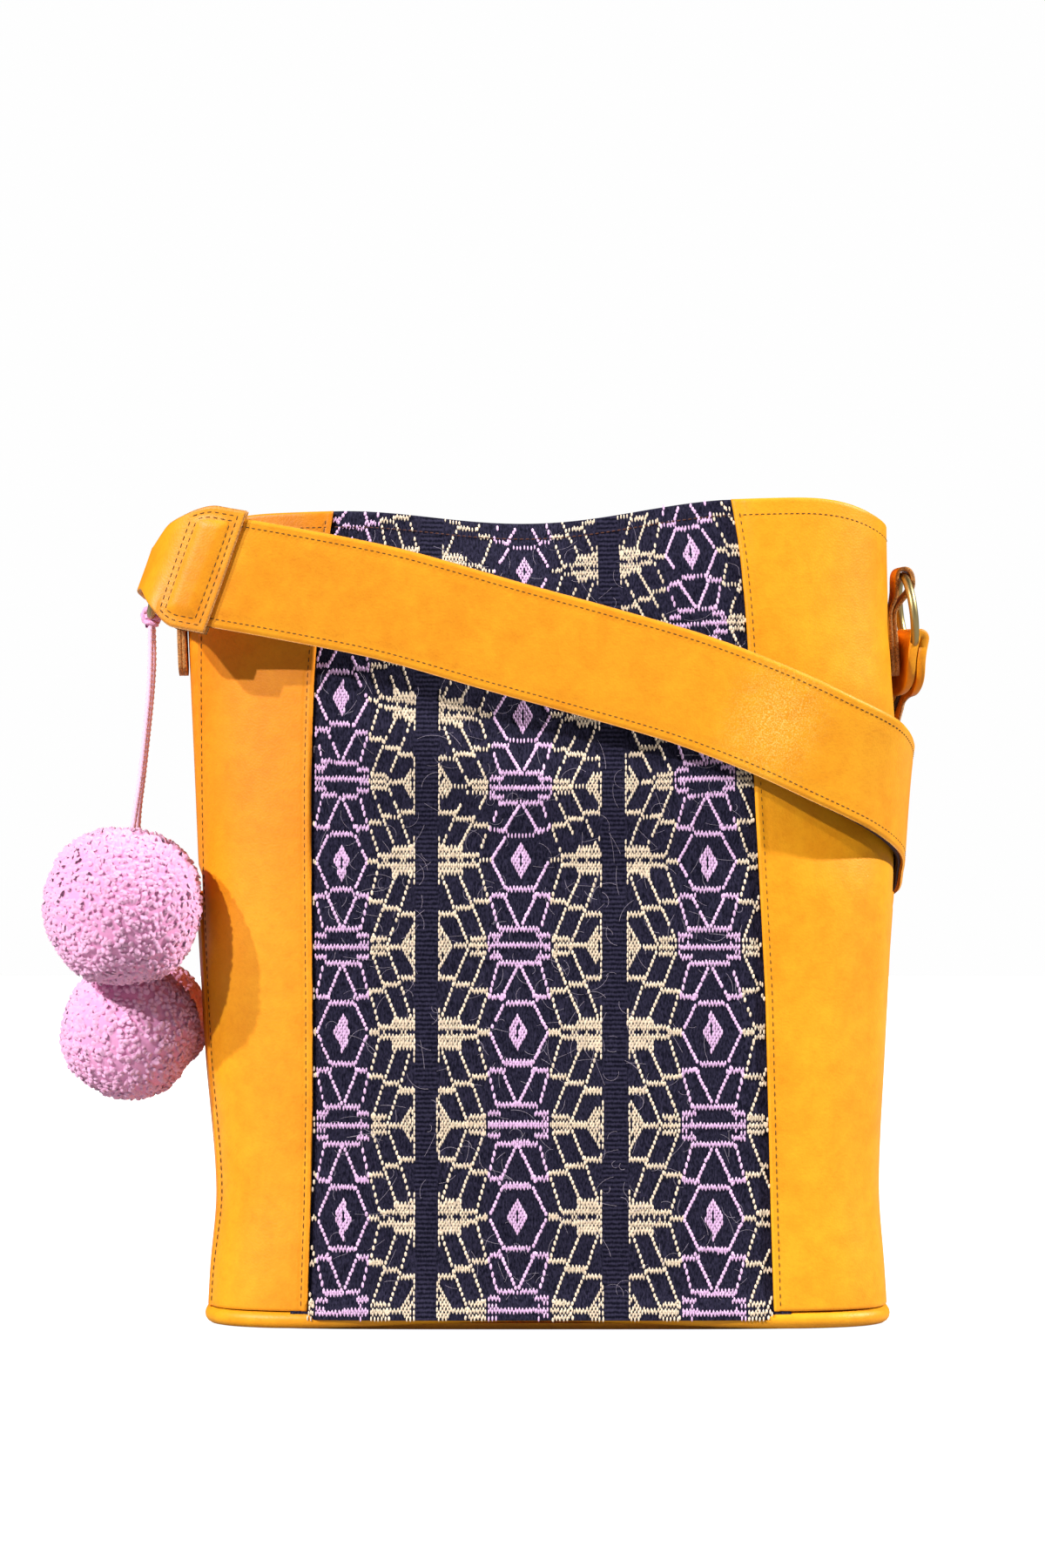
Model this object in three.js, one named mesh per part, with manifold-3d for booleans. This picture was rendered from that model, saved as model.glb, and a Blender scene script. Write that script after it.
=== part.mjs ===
// Woven shoulder bag: leather sides, a handwoven cloth panel in the front wall, a wide
// shoulder strap on two brass rings, and three yarn pompoms that hang from the left ring.
// Millimetres, +Z up, the front faces -Y. The origin is the middle of the base's underside.

import * as THREE from 'three';
import { mergeVertices } from 'three/addons/utils/BufferGeometryUtils.js';
import Module from 'manifold-3d';

const wasm = await Module();
wasm.setup();

// Driving dimensions
const GAP = 0.3;                 // room between pieces that touch
const LEATHER = 1.8;             // thickness of the body leather
const CLOTH = 1.6;               // thickness of the handwoven cloth
const LAP = 7;                   // how far a wall runs on under the next one's edge
const LAP_GAP = 0.7;             // room between a lapped edge and the wall under it
const HEM_DEPTH = 10;            // depth of the hem round the mouth
const HEM_TURN = 1.5;            // extra thickness of the folded hem
const SEAM_PAST = 1;             // the front leather runs this far past the bag's sides
const WALL_FOOT = 7.4;           // height where the walls stand on the base piping

const WOVEN_MIDDLE_X = -3.9;     // the cloth is sewn in a little left of the middle
const WOVEN_HALF_FOOT = 94.5;    // half the cloth's width at the base
const WOVEN_TAPER = 0.016;       // and what it loses for each millimetre of height
const WOVEN_SUNK = 0.5;          // the cloth lies this far below the leather's face
const CLOTH_EDGE = 0.5;          // the cloth stays low this far past the leather's edge
const CLOTH_STEP = 5;            // the cloth rises from under the leather within this width

const RIM_HEIGHT = 330;
const RIM_SLOPE = 0.03;          // the mouth is higher on the right
const RIM_SAG_FRONT = 6;
const RIM_SAG_BACK = 5;
const RIM_SAG_HALF = 80;
const RIM_SIDE_DROP = 11;
const RIM_SIDE_START = 0.7;

const DENT_DEPTH = 36;           // how far the front wall is pushed in at the mouth
const DENT_FOOT = 170;           // where the dent starts
const DENT_TOP = 325;
const DENT_HALF = 96;

const POCKET_TOP = 174;
const POCKET_GAPE = 1.4;

const BASE_THICK = 2.6;
const PIPING_RADIUS = 3.4;
const PIPING_PROUD = 0.8;        // how far the piping stands out past the walls

const WIRE_RADIUS = 1.75;
const RING_RADIUS = 15.2;        // to the middle of the wire

const TAB_LAYER = 1.5;           // thickness of each layer of a side tab
const TAB_HALF_WIDTH = 7.5;
const TAB_HALF_LOOP = 6.5;       // half its width where it goes round the ring
const TAB_FOOT = 262;
const TAB_SEWN = 12;             // height of the foot, where the layers are sewn down
const TAB_NECK = 15;             // how far below the ring's wire the layers part
const TAB_TAPER = 14;            // height over which it narrows to the loop
const TAB_SLACK = 0.3;           // extra room in the loop's outer side

const STRAP_WIDTH = 45;
const STRAP_LEATHER = 1.9;
const STRAP_BACKING = 1.5;
const STRAP_END_LENGTH = 62;     // the leather end that holds the strap to its ring
const STRAP_END_LEATHER = 1.6;
const STRAP_END_GAP = 0.5;
const STRAP_END_FOLD_WIDTH = 19; // its width where it is folded round the ring
const STRAP_END_WIDTH = 51;      // and its width where it is sewn to the strap
const STRAP_END_NECK = 22;       // it starts to widen this far from the fold
const STRAP_END_FULL = 50;       // and has its full width this far from the fold
const STRAP_END_SLANT = 0.16;    // its sewn edge is cut aslant, by this share of its width
const STRAP_END_MARGIN = 5;      // it is at least this much wider than the strap inside it
const STRAP_START = 15;          // the strap starts this far from the fold

const YARN_DIAMETER = 2.2;
const LOCK_SIDES = 5;
const LOCK_SPREAD = 1.85;        // a lock's root, for an even share of the ball's surface
const LOCK_TIP = 0.62;           // a lock's tip, as a share of its root
const KNOT_RADIUS = 2.7;
const KNOT_DROP = 2.4;           // the knot's middle, below the loop round the ring
const KNOT_ROOM = 0.45;          // room between that loop and the ring's wire

// The body's outline at each height: its left and right edges, how far the front and back
// walls stand from the middle, and how square the corners are (2 is an ellipse).
const SECTIONS = [
  { z: 0, left: -137.5, right: 139.0, front: 57, back: 57, square: 4.2 },
  { z: 22, left: -136.3, right: 137.8, front: 57, back: 57, square: 4.2 },
  { z: 55, left: -133.6, right: 136.2, front: 57, back: 57, square: 4.0 },
  { z: 110, left: -138.0, right: 138.4, front: 57, back: 57, square: 3.8 },
  { z: 180, left: -141.5, right: 141.0, front: 56, back: 57, square: 3.6 },
  { z: 235, left: -144.1, right: 142.2, front: 53.6, back: 55.4, square: 3.35 },
  { z: 264, left: -145.4, right: 140.6, front: 52.0, back: 54.2, square: 3.25 },
  { z: 292, left: -146.5, right: 139.6, front: 50.0, back: 52.8, square: 3.15 },
  { z: 334, left: -148.0, right: 139.2, front: 46, back: 50, square: 3.0 },
];

// The strap's middle line from the left ring, across the front, round the right side, and
// in a loose loop behind the bag up to the right ring. lean tips its upper edge to the
// front, and tilt tips it to the right, in degrees from upright.
const STRAP_ROUTE = [
  { x: -156.6, y: -19.5, z: 301.0, lean: 0, tilt: 15 },
  { x: -156.6, y: -28.0, z: 301.0, lean: 0, tilt: 15 },
  { x: -157.2, y: -41.0, z: 303.0, lean: 0, tilt: 20 },
  { x: -149.0, y: -55.0, z: 305.4, lean: 0, tilt: 22 },
  { x: -128.0, y: -61.0, z: 302.0, lean: 0, tilt: 20 },
  { x: -102.0, y: -61.5, z: 297.4, lean: 0, tilt: 13 },
  { x: -62.0, y: -62.0, z: 289.3, lean: 0, tilt: 13 },
  { x: -17.0, y: -61.5, z: 276.6, lean: 0, tilt: 15 },
  { x: 19.5, y: -61.0, z: 266.6, lean: 0, tilt: 16 },
  { x: 55.9, y: -60.5, z: 256.0, lean: 0, tilt: 17 },
  { x: 88.0, y: -59.5, z: 243.9, lean: 0, tilt: 18 },
  { x: 113.0, y: -55.5, z: 232.5, lean: 0, tilt: 18 },
  { x: 133.4, y: -45.4, z: 222.4, lean: 0, tilt: 11 },
  { x: 144.0, y: -25.0, z: 213.0, lean: 0, tilt: 5 },
  { x: 145.8, y: 0.0, z: 204.2, lean: 0, tilt: 4 },
  { x: 142.8, y: 27.5, z: 195.0, lean: 0, tilt: 2 },
  { x: 126.0, y: 57.0, z: 185.0, lean: 0, tilt: 0 },
  { x: 88.0, y: 74.0, z: 173.0, lean: 0, tilt: 0 },
  { x: 30.0, y: 77.0, z: 157.0, lean: 0, tilt: 0 },
  { x: -25.0, y: 80.0, z: 142.0, lean: 0, tilt: 0 },
  { x: -58.0, y: 94.0, z: 133.0, lean: 0, tilt: 0 },
  { x: -66.0, y: 112.0, z: 130.5, lean: 0, tilt: 0 },
  { x: -54.0, y: 130.0, z: 132.0, lean: 0, tilt: 0 },
  { x: -18.0, y: 140.0, z: 141.0, lean: 0, tilt: 0 },
  { x: 35.0, y: 137.0, z: 163.0, lean: -4, tilt: 0 },
  { x: 80.0, y: 122.0, z: 194.0, lean: -8, tilt: 0 },
  { x: 109.0, y: 98.0, z: 223.0, lean: -10, tilt: -3 },
  { x: 125.0, y: 66.0, z: 246.0, lean: -14, tilt: -5 },
  { x: 137.4, y: 38.0, z: 259.0, lean: -19, tilt: -6 },
  { x: 141.6, y: 29.0, z: 262.2, lean: -24, tilt: -7 },
  { x: 144.8, y: 20.2, z: 263.2, lean: -29, tilt: -7 },
  { x: 148.0, y: 10.8, z: 263.4, lean: -37, tilt: -8 },
  { x: 149.4, y: 3.6, z: 265.2, lean: -54, tilt: -10 },
  { x: 149.4, y: 0.2, z: 269.8, lean: -79, tilt: -30 },
  { x: 149.4, y: 0.0, z: 277.3, lean: -85, tilt: -90 },
];

// Each ring: the middle of its circle, how far its foot swings out from the bag, and how
// far its plane is turned about the vertical, in degrees.
const RINGS = {
  left: { x: -156.6, y: -8, z: 301.0, swing: -15, turn: 0 },
  right: { x: 147.6, y: 0, z: 287.6, swing: 7, turn: 7 },
};

// Each pompom: the middle of its ball, its radius to the lock tips, and its number of locks.
const POMPOMS = {
  upper: { x: -169.4, y: -46, z: 168.8, radius: 31.4, locks: 28 },
  lower: { x: -169.1, y: -17, z: 117.8, radius: 27, locks: 26 },
  rear: { x: -163.9, y: 34, z: 120.7, radius: 24, locks: 22 },
};
const LOCK_DEPTH = 5.5;          // how far the locks stand out of a pompom's core

// The yarn cords: one forward to the upper pompom, one back along the side to the rear pompom.
const CORD_FRONT_ROUTE = [
  [-161.0, -9.2, 277.6], [-161.5, -11.4, 268], [-162.2, -14.6, 256], [-163.1, -18.8, 243],
  [-164.2, -24.0, 229], [-165.3, -28.9, 217], [-166.2, -33.2, 208], [-167.3, -39.4, 193.6],
];
const CORD_REAR_ROUTE = [
  [-160.9, -6.6, 277.6], [-160.9, -4.6, 268], [-161.0, -0.6, 254], [-161.2, 5.4, 238],
  [-161.5, 12.4, 222], [-161.8, 20.0, 206], [-162.0, 28.4, 190], [-162.2, 35.6, 174],
  [-162.3, 39.4, 162], [-162.6, 39.9, 153.5], [-163.2, 36.5, 141.9],
];

// Materials
function finish(colour, roughness, metalness = 0) {
  return new THREE.MeshStandardMaterial({ color: colour, roughness, metalness });
}

const amberLeather = finish(0xf2a02a, 0.55);
const darkBacking = finish(0x5a4a4c, 0.8);
const wovenCloth = finish(0x4a4266, 0.95);
const brass = finish(0xab9358, 0.38, 1);
const lilacYarn = finish(0xdfa6d8, 1);

// Smooth curve through a table: between two rows it is a cubic whose slopes at the rows
// come from the rows on either side.
function smoothAt(rows, key, column, at) {
  const last = rows.length - 1;
  const x = Math.min(Math.max(at, rows[0][key]), rows[last][key]);
  let i = 0;
  while (i < last - 1 && x > rows[i + 1][key]) i += 1;
  const slope = (j) => {
    const a = rows[Math.max(j - 1, 0)];
    const b = rows[Math.min(j + 1, last)];
    return (b[column] - a[column]) / (b[key] - a[key]);
  };
  const span = rows[i + 1][key] - rows[i][key];
  const t = (x - rows[i][key]) / span;
  const rise = t * t * (3 - 2 * t);
  return rows[i][column] * (1 - rise) + rows[i + 1][column] * rise
    + slope(i) * span * t * (1 - t) * (1 - t) - slope(i + 1) * span * t * t * (1 - t);
}

const WELD = 1e-4;               // corners closer than this are one corner

function ease(from, to, x) {
  const t = Math.min(Math.max((x - from) / (to - from), 0), 1);
  return t * t * (3 - 2 * t);
}

function hump(x, half) {
  return Math.abs(x) < half ? Math.cos(Math.PI * x / (2 * half)) ** 2 : 0;
}

// Body surface: the outline at one height, as points with their distance along it from the
// middle of the cloth, to the right round the bag.
const OUTLINE_POINTS = 720;

function outlineAt(z) {
  const row = {};
  for (const column of ['left', 'right', 'front', 'back', 'square']) {
    row[column] = smoothAt(SECTIONS, 'z', column, z);
  }
  const middle = (row.left + row.right) / 2;
  const half = (row.right - row.left) / 2;
  const push = DENT_DEPTH * Math.max(0, (z - DENT_FOOT) / (DENT_TOP - DENT_FOOT)) ** 2;
  const points = [];
  for (let i = 0; i <= OUTLINE_POINTS; i += 1) {
    const angle = -Math.PI / 2 + 2 * Math.PI * i / OUTLINE_POINTS;
    const c = Math.cos(angle);
    const s = Math.sin(angle);
    const x = middle + half * Math.sign(c) * Math.abs(c) ** (2 / row.square);
    const depth = s < 0 ? row.front : row.back;
    let y = depth * Math.sign(s) * Math.abs(s) ** (2 / row.square);
    if (s < 0) y += push * hump(x - WOVEN_MIDDLE_X, DENT_HALF);
    points.push(new THREE.Vector2(x, y));
  }
  const along = [0];
  for (let i = 1; i <= OUTLINE_POINTS; i += 1) {
    along.push(along[i - 1] + points[i].distanceTo(points[i - 1]));
  }
  const total = along[OUTLINE_POINTS];
  const rightSide = along[OUTLINE_POINTS / 4];
  const leftSide = along[3 * OUTLINE_POINTS / 4];
  // The outline starts at its own middle, and distances count from the cloth's middle.
  let start = OUTLINE_POINTS - 1;
  while (points[start].x > WOVEN_MIDDLE_X) start -= 1;
  const share = (WOVEN_MIDDLE_X - points[start].x) / (points[start + 1].x - points[start].x);
  const zero = along[start] + share * (along[start + 1] - along[start]);
  return { points, along, total, zero: zero - total, rightSide, leftSide: leftSide - total };
}

const outlines = new Map();

function outline(z) {
  const key = z.toFixed(3);
  if (!outlines.has(key)) outlines.set(key, outlineAt(z));
  return outlines.get(key);
}

// A point of the outline at a distance from the cloth's middle, moved outwards.
function skinPoint(distance, z, outwards) {
  const ring = outline(z);
  let d = (distance + ring.zero) % ring.total;
  if (d < 0) d += ring.total;
  let low = 0;
  let high = OUTLINE_POINTS;
  while (high - low > 1) {
    const mid = (low + high) >> 1;
    if (ring.along[mid] <= d) low = mid;
    else high = mid;
  }
  const a = ring.points[low];
  const b = ring.points[high];
  const t = (d - ring.along[low]) / (ring.along[high] - ring.along[low]);
  const way = b.clone().sub(a).normalize();
  return new THREE.Vector3(
    a.x + (b.x - a.x) * t + way.y * outwards,
    a.y + (b.y - a.y) * t - way.x * outwards,
    z,
  );
}

// The mouth's height above one point of the outline.
function rimHeight(distance) {
  const p = skinPoint(distance, DENT_TOP, 0);
  const top = SECTIONS[SECTIONS.length - 1];
  const reach = Math.abs(2 * p.x - top.left - top.right) / (top.right - top.left);
  const sag = p.y < 0 ? RIM_SAG_FRONT : RIM_SAG_BACK;
  const side = Math.max(0, (reach - RIM_SIDE_START) / (1 - RIM_SIDE_START)) ** 3;
  return RIM_HEIGHT + RIM_SLOPE * p.x - sag * hump(p.x - WOVEN_MIDDLE_X, RIM_SAG_HALF)
    - RIM_SIDE_DROP * Math.min(side, 1);
}

function wovenHalf(z) {
  return WOVEN_HALF_FOOT - WOVEN_TAPER * z;
}

function sideRight(z) {
  const ring = outline(z);
  return ring.rightSide - ring.zero;
}

function sideLeft(z) {
  const ring = outline(z);
  return ring.leftSide - ring.zero;
}

// Closed sheets: a flat block of cells, each corner moved to its place. across and up go
// from 0 to 1, and outer is 0 on the inner face and 1 on the outer face.
function bentSheet(columns, rows, place) {
  const block = new THREE.BoxGeometry(1, 1, 1, columns, rows, 1);
  block.deleteAttribute('normal');
  block.deleteAttribute('uv');
  const spots = block.attributes.position;
  for (let i = 0; i < spots.count; i += 1) {
    const p = place(spots.getX(i) + 0.5, spots.getY(i) + 0.5, spots.getZ(i) + 0.5);
    spots.setXYZ(i, p.x, p.y, p.z);
  }
  // The inner face's cells are split along the same diagonal as the outer face's, so the
  // two faces of neighbouring sheets stay parallel where they twist.
  const inner = block.groups[block.groups.length - 1];
  const corners = block.index.array;
  for (let i = inner.start; i < inner.start + inner.count; i += 6) {
    const [a, b, d, , c] = corners.slice(i, i + 5);
    corners.set([a, b, c, a, c, d], i);
  }
  return mergeVertices(block, WELD);
}

function part(name, geometry, material) {
  const mesh = new THREE.Mesh(geometry, material);
  mesh.name = name;
  return mesh;
}

// Walls: stops gives the distances at a height between which the columns are shared out,
// and skin gives the outer face.
const WALL_ROWS = 12;

function wallHeight(up, top) {
  const whole = top - WALL_FOOT;
  const hemShare = HEM_DEPTH / whole;
  const steps = up * WALL_ROWS;
  // The two top rows are the hem, the others share the rest evenly.
  const body = (1 - hemShare) * Math.min(steps / (WALL_ROWS - 2), 1);
  const hem = hemShare * Math.max(0, (steps - WALL_ROWS + 2) / 2);
  return WALL_FOOT + whole * (body + hem);
}

function sharedOut(stops, counts, across) {
  let column = across * counts.reduce((sum, next) => sum + next);
  let i = 0;
  while (i < counts.length - 1 && column > counts[i]) {
    column -= counts[i];
    i += 1;
  }
  return stops[i] + (stops[i + 1] - stops[i]) * column / counts[i];
}

function wall({ counts, stops, thick, skin, hem }) {
  const columns = counts.reduce((sum, next) => sum + next);
  return bentSheet(columns, WALL_ROWS, (across, up, outer) => {
    const top = rimHeight(sharedOut(stops(DENT_TOP), counts, across));
    const z = wallHeight(up, top);
    const distance = sharedOut(stops(z), counts, across);
    const turned = hem * ease(top - HEM_DEPTH, top - HEM_DEPTH / 2, z);
    const face = skin(distance, z);
    return skinPoint(distance, z, outer ? face : face - thick - turned);
  });
}

const UNDER_LAP = -LEATHER - LAP_GAP;

function wovenSkin(distance, z) {
  const open = ease(CLOTH_EDGE, CLOTH_STEP, wovenHalf(z) - Math.abs(distance));
  return UNDER_LAP - (UNDER_LAP + WOVEN_SUNK) * open;
}

function wovenPanel() {
  const stops = (z) => {
    const half = wovenHalf(z);
    return [-half - LAP, -half, -half + CLOTH_STEP, half - CLOTH_STEP, half, half + LAP];
  };
  return wall({ counts: [1, 1, 12, 1, 1], stops, thick: CLOTH, skin: wovenSkin, hem: HEM_TURN });
}

function frontLeft() {
  const stops = (z) => [sideLeft(z) - SEAM_PAST, -wovenHalf(z) - LAP, -wovenHalf(z)];
  return wall({ counts: [8, 1], stops, thick: LEATHER, skin: () => 0, hem: 0 });
}

function frontRight() {
  const stops = (z) => [wovenHalf(z), wovenHalf(z) + LAP, sideRight(z) + SEAM_PAST];
  return wall({ counts: [1, 8], stops, thick: LEATHER, skin: () => 0, hem: 0 });
}

// The back wall's edges lie under the front leather, and the pocket covers its lower part.
const BACK_COLUMNS = 22;

function backStops(z) {
  const right = sideRight(z) + SEAM_PAST;
  const left = sideLeft(z) - SEAM_PAST + outline(z).total;
  return [right - LAP, right + GAP, left - GAP, left + LAP];
}

function backWall() {
  return wall({
    counts: [1, BACK_COLUMNS, 1], stops: backStops, thick: LEATHER, skin: () => UNDER_LAP, hem: HEM_TURN,
  });
}

const POCKET_ROWS = 5;

function backPocket() {
  return bentSheet(BACK_COLUMNS, POCKET_ROWS, (across, up, outer) => {
    const z = WALL_FOOT + (POCKET_TOP - WALL_FOOT) * up;
    const edges = backStops(z);
    const gape = POCKET_GAPE * up ** 4;
    const distance = edges[1] + (edges[2] - edges[1]) * across;
    return skinPoint(distance, z, (outer ? 0 : -LEATHER) + gape);
  });
}

// Base: a flat leather sole inside a round piping.
const BASE_CORNERS = 52;
const PIPING_SIDES = 8;
const PIPING_GUIDE = 10;         // radius of the plain ring that is bent to the base's edge

function basePanel() {
  const inset = 2 * PIPING_RADIUS - PIPING_PROUD + GAP;
  const rim = outline(0);
  const edge = [];
  for (let i = 0; i < BASE_CORNERS; i += 1) {
    const p = skinPoint(rim.total * i / BASE_CORNERS, 0, -inset);
    edge.push(new THREE.Vector2(p.x, p.y));
  }
  const sole = new THREE.ExtrudeGeometry(new THREE.Shape(edge), {
    depth: BASE_THICK, bevelEnabled: false,
  });
  sole.deleteAttribute('normal');
  sole.deleteAttribute('uv');
  return mergeVertices(sole, WELD);
}

function basePiping() {
  const ring = new THREE.TorusGeometry(PIPING_GUIDE, 1, PIPING_SIDES, BASE_CORNERS);
  ring.deleteAttribute('normal');
  ring.deleteAttribute('uv');
  const spots = ring.attributes.position;
  const rim = outline(0);
  for (let i = 0; i < spots.count; i += 1) {
    const [x, y, z] = [spots.getX(i), spots.getY(i), spots.getZ(i)];
    const turn = Math.atan2(y, x) / (2 * Math.PI);
    const out = Math.hypot(x, y) - PIPING_GUIDE;
    const outwards = PIPING_PROUD - PIPING_RADIUS + PIPING_RADIUS * out;
    const p = skinPoint(rim.total * turn, 0, outwards);
    spots.setXYZ(i, p.x, p.y, GAP + PIPING_RADIUS * (1 + z));
  }
  return mergeVertices(ring, WELD);
}

// Rings
const WIRE_SIDES = 8;
const RING_STEPS = 20;

function ring(place) {
  const wire = new THREE.TorusGeometry(RING_RADIUS, WIRE_RADIUS, WIRE_SIDES, RING_STEPS);
  wire.deleteAttribute('normal');
  wire.deleteAttribute('uv');
  wire.rotateY(Math.PI / 2);
  wire.rotateY(THREE.MathUtils.degToRad(-place.swing));
  wire.rotateZ(THREE.MathUtils.degToRad(place.turn));
  wire.translate(place.x, place.y, place.z);
  return mergeVertices(wire, WELD);
}

// Side tabs: one strip that lies on the bag's side, goes round the top of the ring, and
// comes down again outside its own first layer. side is 1 on the right, -1 on the left.
const TAB_STEPS = 26;

function sideTab(place, side) {
  const swing = THREE.MathUtils.degToRad(place.swing);
  const wireX = side * (place.x - RING_RADIUS * Math.sin(swing));
  const wireZ = place.z + RING_RADIUS * Math.cos(swing);
  const edge = (z) => side * skinPoint(side > 0 ? sideRight(z) : sideLeft(z), z, 0).x;
  const inner = (z) => edge(z) + GAP + TAB_LAYER / 2;
  const outer = (z) => inner(z) + TAB_LAYER + GAP;
  const bend = WIRE_RADIUS + 2 * GAP + TAB_LAYER / 2;
  const slant = bend * Math.SQRT1_2;
  const low = TAB_FOOT + TAB_SEWN;
  const neck = wireZ - TAB_NECK;
  const throat = wireZ - TAB_NECK / 2;
  const spots = [
    [inner(TAB_FOOT), TAB_FOOT],
    [inner(low), low],
    [inner(neck), neck],
    [Math.max(inner(throat), wireX - bend - TAB_SLACK), throat],
    [wireX - bend, wireZ],
    [wireX - slant, wireZ + slant],
    [wireX, wireZ + bend],
    [wireX + slant, wireZ + slant],
    [wireX + bend + TAB_SLACK, wireZ - WIRE_RADIUS / 2],
    [wireX + bend, wireZ - TAB_NECK / 3],
    [(wireX + outer(neck) + WIRE_RADIUS) / 2, wireZ - 2 * TAB_NECK / 3],
    [outer(neck), neck],
    [outer(low), low],
    [outer(TAB_FOOT), TAB_FOOT],
  ];
  const route = new THREE.CatmullRomCurve3(
    spots.map(([x, z]) => new THREE.Vector3(x, 0, z)), false, 'centripetal',
  );
  const turn = Math.tan(THREE.MathUtils.degToRad(place.turn));
  return bentSheet(TAB_STEPS, 1, (across, up, face) => {
    const spot = route.getPointAt(across);
    const way = route.getTangentAt(across);
    const narrow = ease(neck - TAB_TAPER, neck, spot.z);
    const half = TAB_HALF_WIDTH + (TAB_HALF_LOOP - TAB_HALF_WIDTH) * narrow;
    const width = (up - 0.5) * 2 * half * side;
    const lift = (face - 0.5) * TAB_LAYER;
    const slew = -turn * width * ease(neck, throat, spot.z);
    return new THREE.Vector3(
      side * (spot.x - way.z * lift) + slew, place.y + width, spot.z + way.x * lift,
    );
  });
}

// Strap
const STRAP_DIVISIONS = 1200;

class StrapLine extends THREE.Curve {
  constructor(rows) {
    super();
    let run = 0;
    this.rows = rows.map((row, i) => {
      const before = rows[Math.max(i - 1, 0)];
      run += Math.hypot(row.x - before.x, row.y - before.y, row.z - before.z);
      return { ...row, run };
    });
    this.length = run;
    this.arcLengthDivisions = STRAP_DIVISIONS;
  }

  value(column, t) {
    return smoothAt(this.rows, 'run', column, t * this.length);
  }

  getPoint(t, target = new THREE.Vector3()) {
    return target.set(this.value('x', t), this.value('y', t), this.value('z', t));
  }

  // The strap's own axes at a share of its length: way along it, up across its width, and
  // out from its face.
  frameAt(share) {
    const t = this.getUtoTmapping(share);
    const spot = this.getPoint(t);
    const way = this.getTangent(t);
    const lean = THREE.MathUtils.degToRad(this.value('lean', t));
    const tilt = THREE.MathUtils.degToRad(this.value('tilt', t));
    const up = new THREE.Vector3(
      Math.sin(tilt) * Math.cos(lean), -Math.sin(lean), Math.cos(tilt) * Math.cos(lean),
    );
    up.addScaledVector(way, -up.dot(way)).normalize();
    const out = way.clone().cross(up);
    return { spot, way, up, out };
  }
}

const strapLine = new StrapLine(STRAP_ROUTE);
const strapLength = strapLine.getLength();
const strapHalfThick = (STRAP_LEATHER + GAP + STRAP_BACKING) / 2;

// Width of a strap end at a distance from its fold: narrow in the ring, a leaf on the strap.
function strapEndWidth(distance) {
  const spread = ease(STRAP_END_NECK, STRAP_END_FULL, distance);
  return STRAP_END_FOLD_WIDTH + (STRAP_END_WIDTH - STRAP_END_FOLD_WIDTH) * spread;
}

function strapWidth(distance) {
  const fromEnd = Math.min(distance, strapLength - distance);
  return Math.min(STRAP_WIDTH, strapEndWidth(fromEnd) - STRAP_END_MARGIN);
}

// The strap's axes at a distance from one of its ends, moved sideways across its width. Under
// a strap end, the cross lines run aslant like that end's sewn edge.
function strapAxes(distance, sideways, atRight) {
  const share = ease(STRAP_END_NECK, STRAP_END_LENGTH, distance);
  const slant = distance > STRAP_END_LENGTH ? 0 : STRAP_END_SLANT * share;
  const along = distance + slant * sideways;
  const axes = strapLine.frameAt((atRight ? strapLength - along : along) / strapLength);
  axes.spot.addScaledVector(axes.up, sideways);
  return axes;
}

// The stations of a strap end's leaf, from its fold. The strap shares those that it reaches.
const LEAF_STATIONS = [0, 5, 10, 15, 21, 27, 33, 39, 45, 51, 56.5, STRAP_END_LENGTH];
const STRAP_MIDDLE_STEPS = 52;

function strapStations() {
  const shared = LEAF_STATIONS.filter((d) => d >= STRAP_START);
  const stations = shared.map((distance) => ({ distance, atRight: false }));
  const span = strapLength - 2 * STRAP_END_LENGTH;
  for (let i = 1; i < STRAP_MIDDLE_STEPS; i += 1) {
    stations.push({ distance: STRAP_END_LENGTH + span * i / STRAP_MIDDLE_STEPS, atRight: false });
  }
  for (const distance of shared.reverse()) stations.push({ distance, atRight: true });
  return stations;
}

function strapLayer(low, high) {
  const stations = strapStations();
  const steps = stations.length - 1;
  return bentSheet(steps, 1, (across, up, face) => {
    const { distance, atRight } = stations[Math.round(across * steps)];
    const axes = strapAxes(distance, (up - 0.5) * strapWidth(distance), atRight);
    return axes.spot.addScaledVector(axes.out, face ? high : low);
  });
}

// Strap end: a leaf of leather on each side of the strap, folded round the ring.
const FOLD_STEPS = 6;

function strapEnd(atRight) {
  const bend = strapHalfThick + STRAP_END_GAP + STRAP_END_LEATHER / 2;
  const leafSteps = LEAF_STATIONS.length - 1;
  const steps = 2 * leafSteps + FOLD_STEPS;
  const side = atRight ? -1 : 1;
  return bentSheet(steps, 1, (across, up, face) => {
    const step = Math.round(across * steps);
    const past = Math.min(Math.max((step - leafSteps) / FOLD_STEPS, 0), 1);
    const station = past < 1 ? leafSteps - step : step - leafSteps - FOLD_STEPS;
    const distance = LEAF_STATIONS[Math.max(station, 0)];
    const axes = strapAxes(distance, (0.5 - up) * strapEndWidth(distance), atRight);
    const lift = bend + (face - 0.5) * STRAP_END_LEATHER;
    return axes.spot
      .addScaledVector(axes.out, side * Math.cos(Math.PI * past) * lift)
      .addScaledVector(axes.way, -side * Math.sin(Math.PI * past) * lift);
  });
}

// Pompoms: yarn locks in an even spread over a ball, fused to its core.
function solid(geometry) {
  const merged = mergeVertices(geometry, WELD);
  return new wasm.Manifold(new wasm.Mesh({
    numProp: 3,
    vertProperties: new Float32Array(merged.attributes.position.array),
    triVerts: new Uint32Array(merged.index.array),
  }));
}

function bare(geometry) {
  geometry.deleteAttribute('normal');
  geometry.deleteAttribute('uv');
  return geometry;
}

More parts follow.
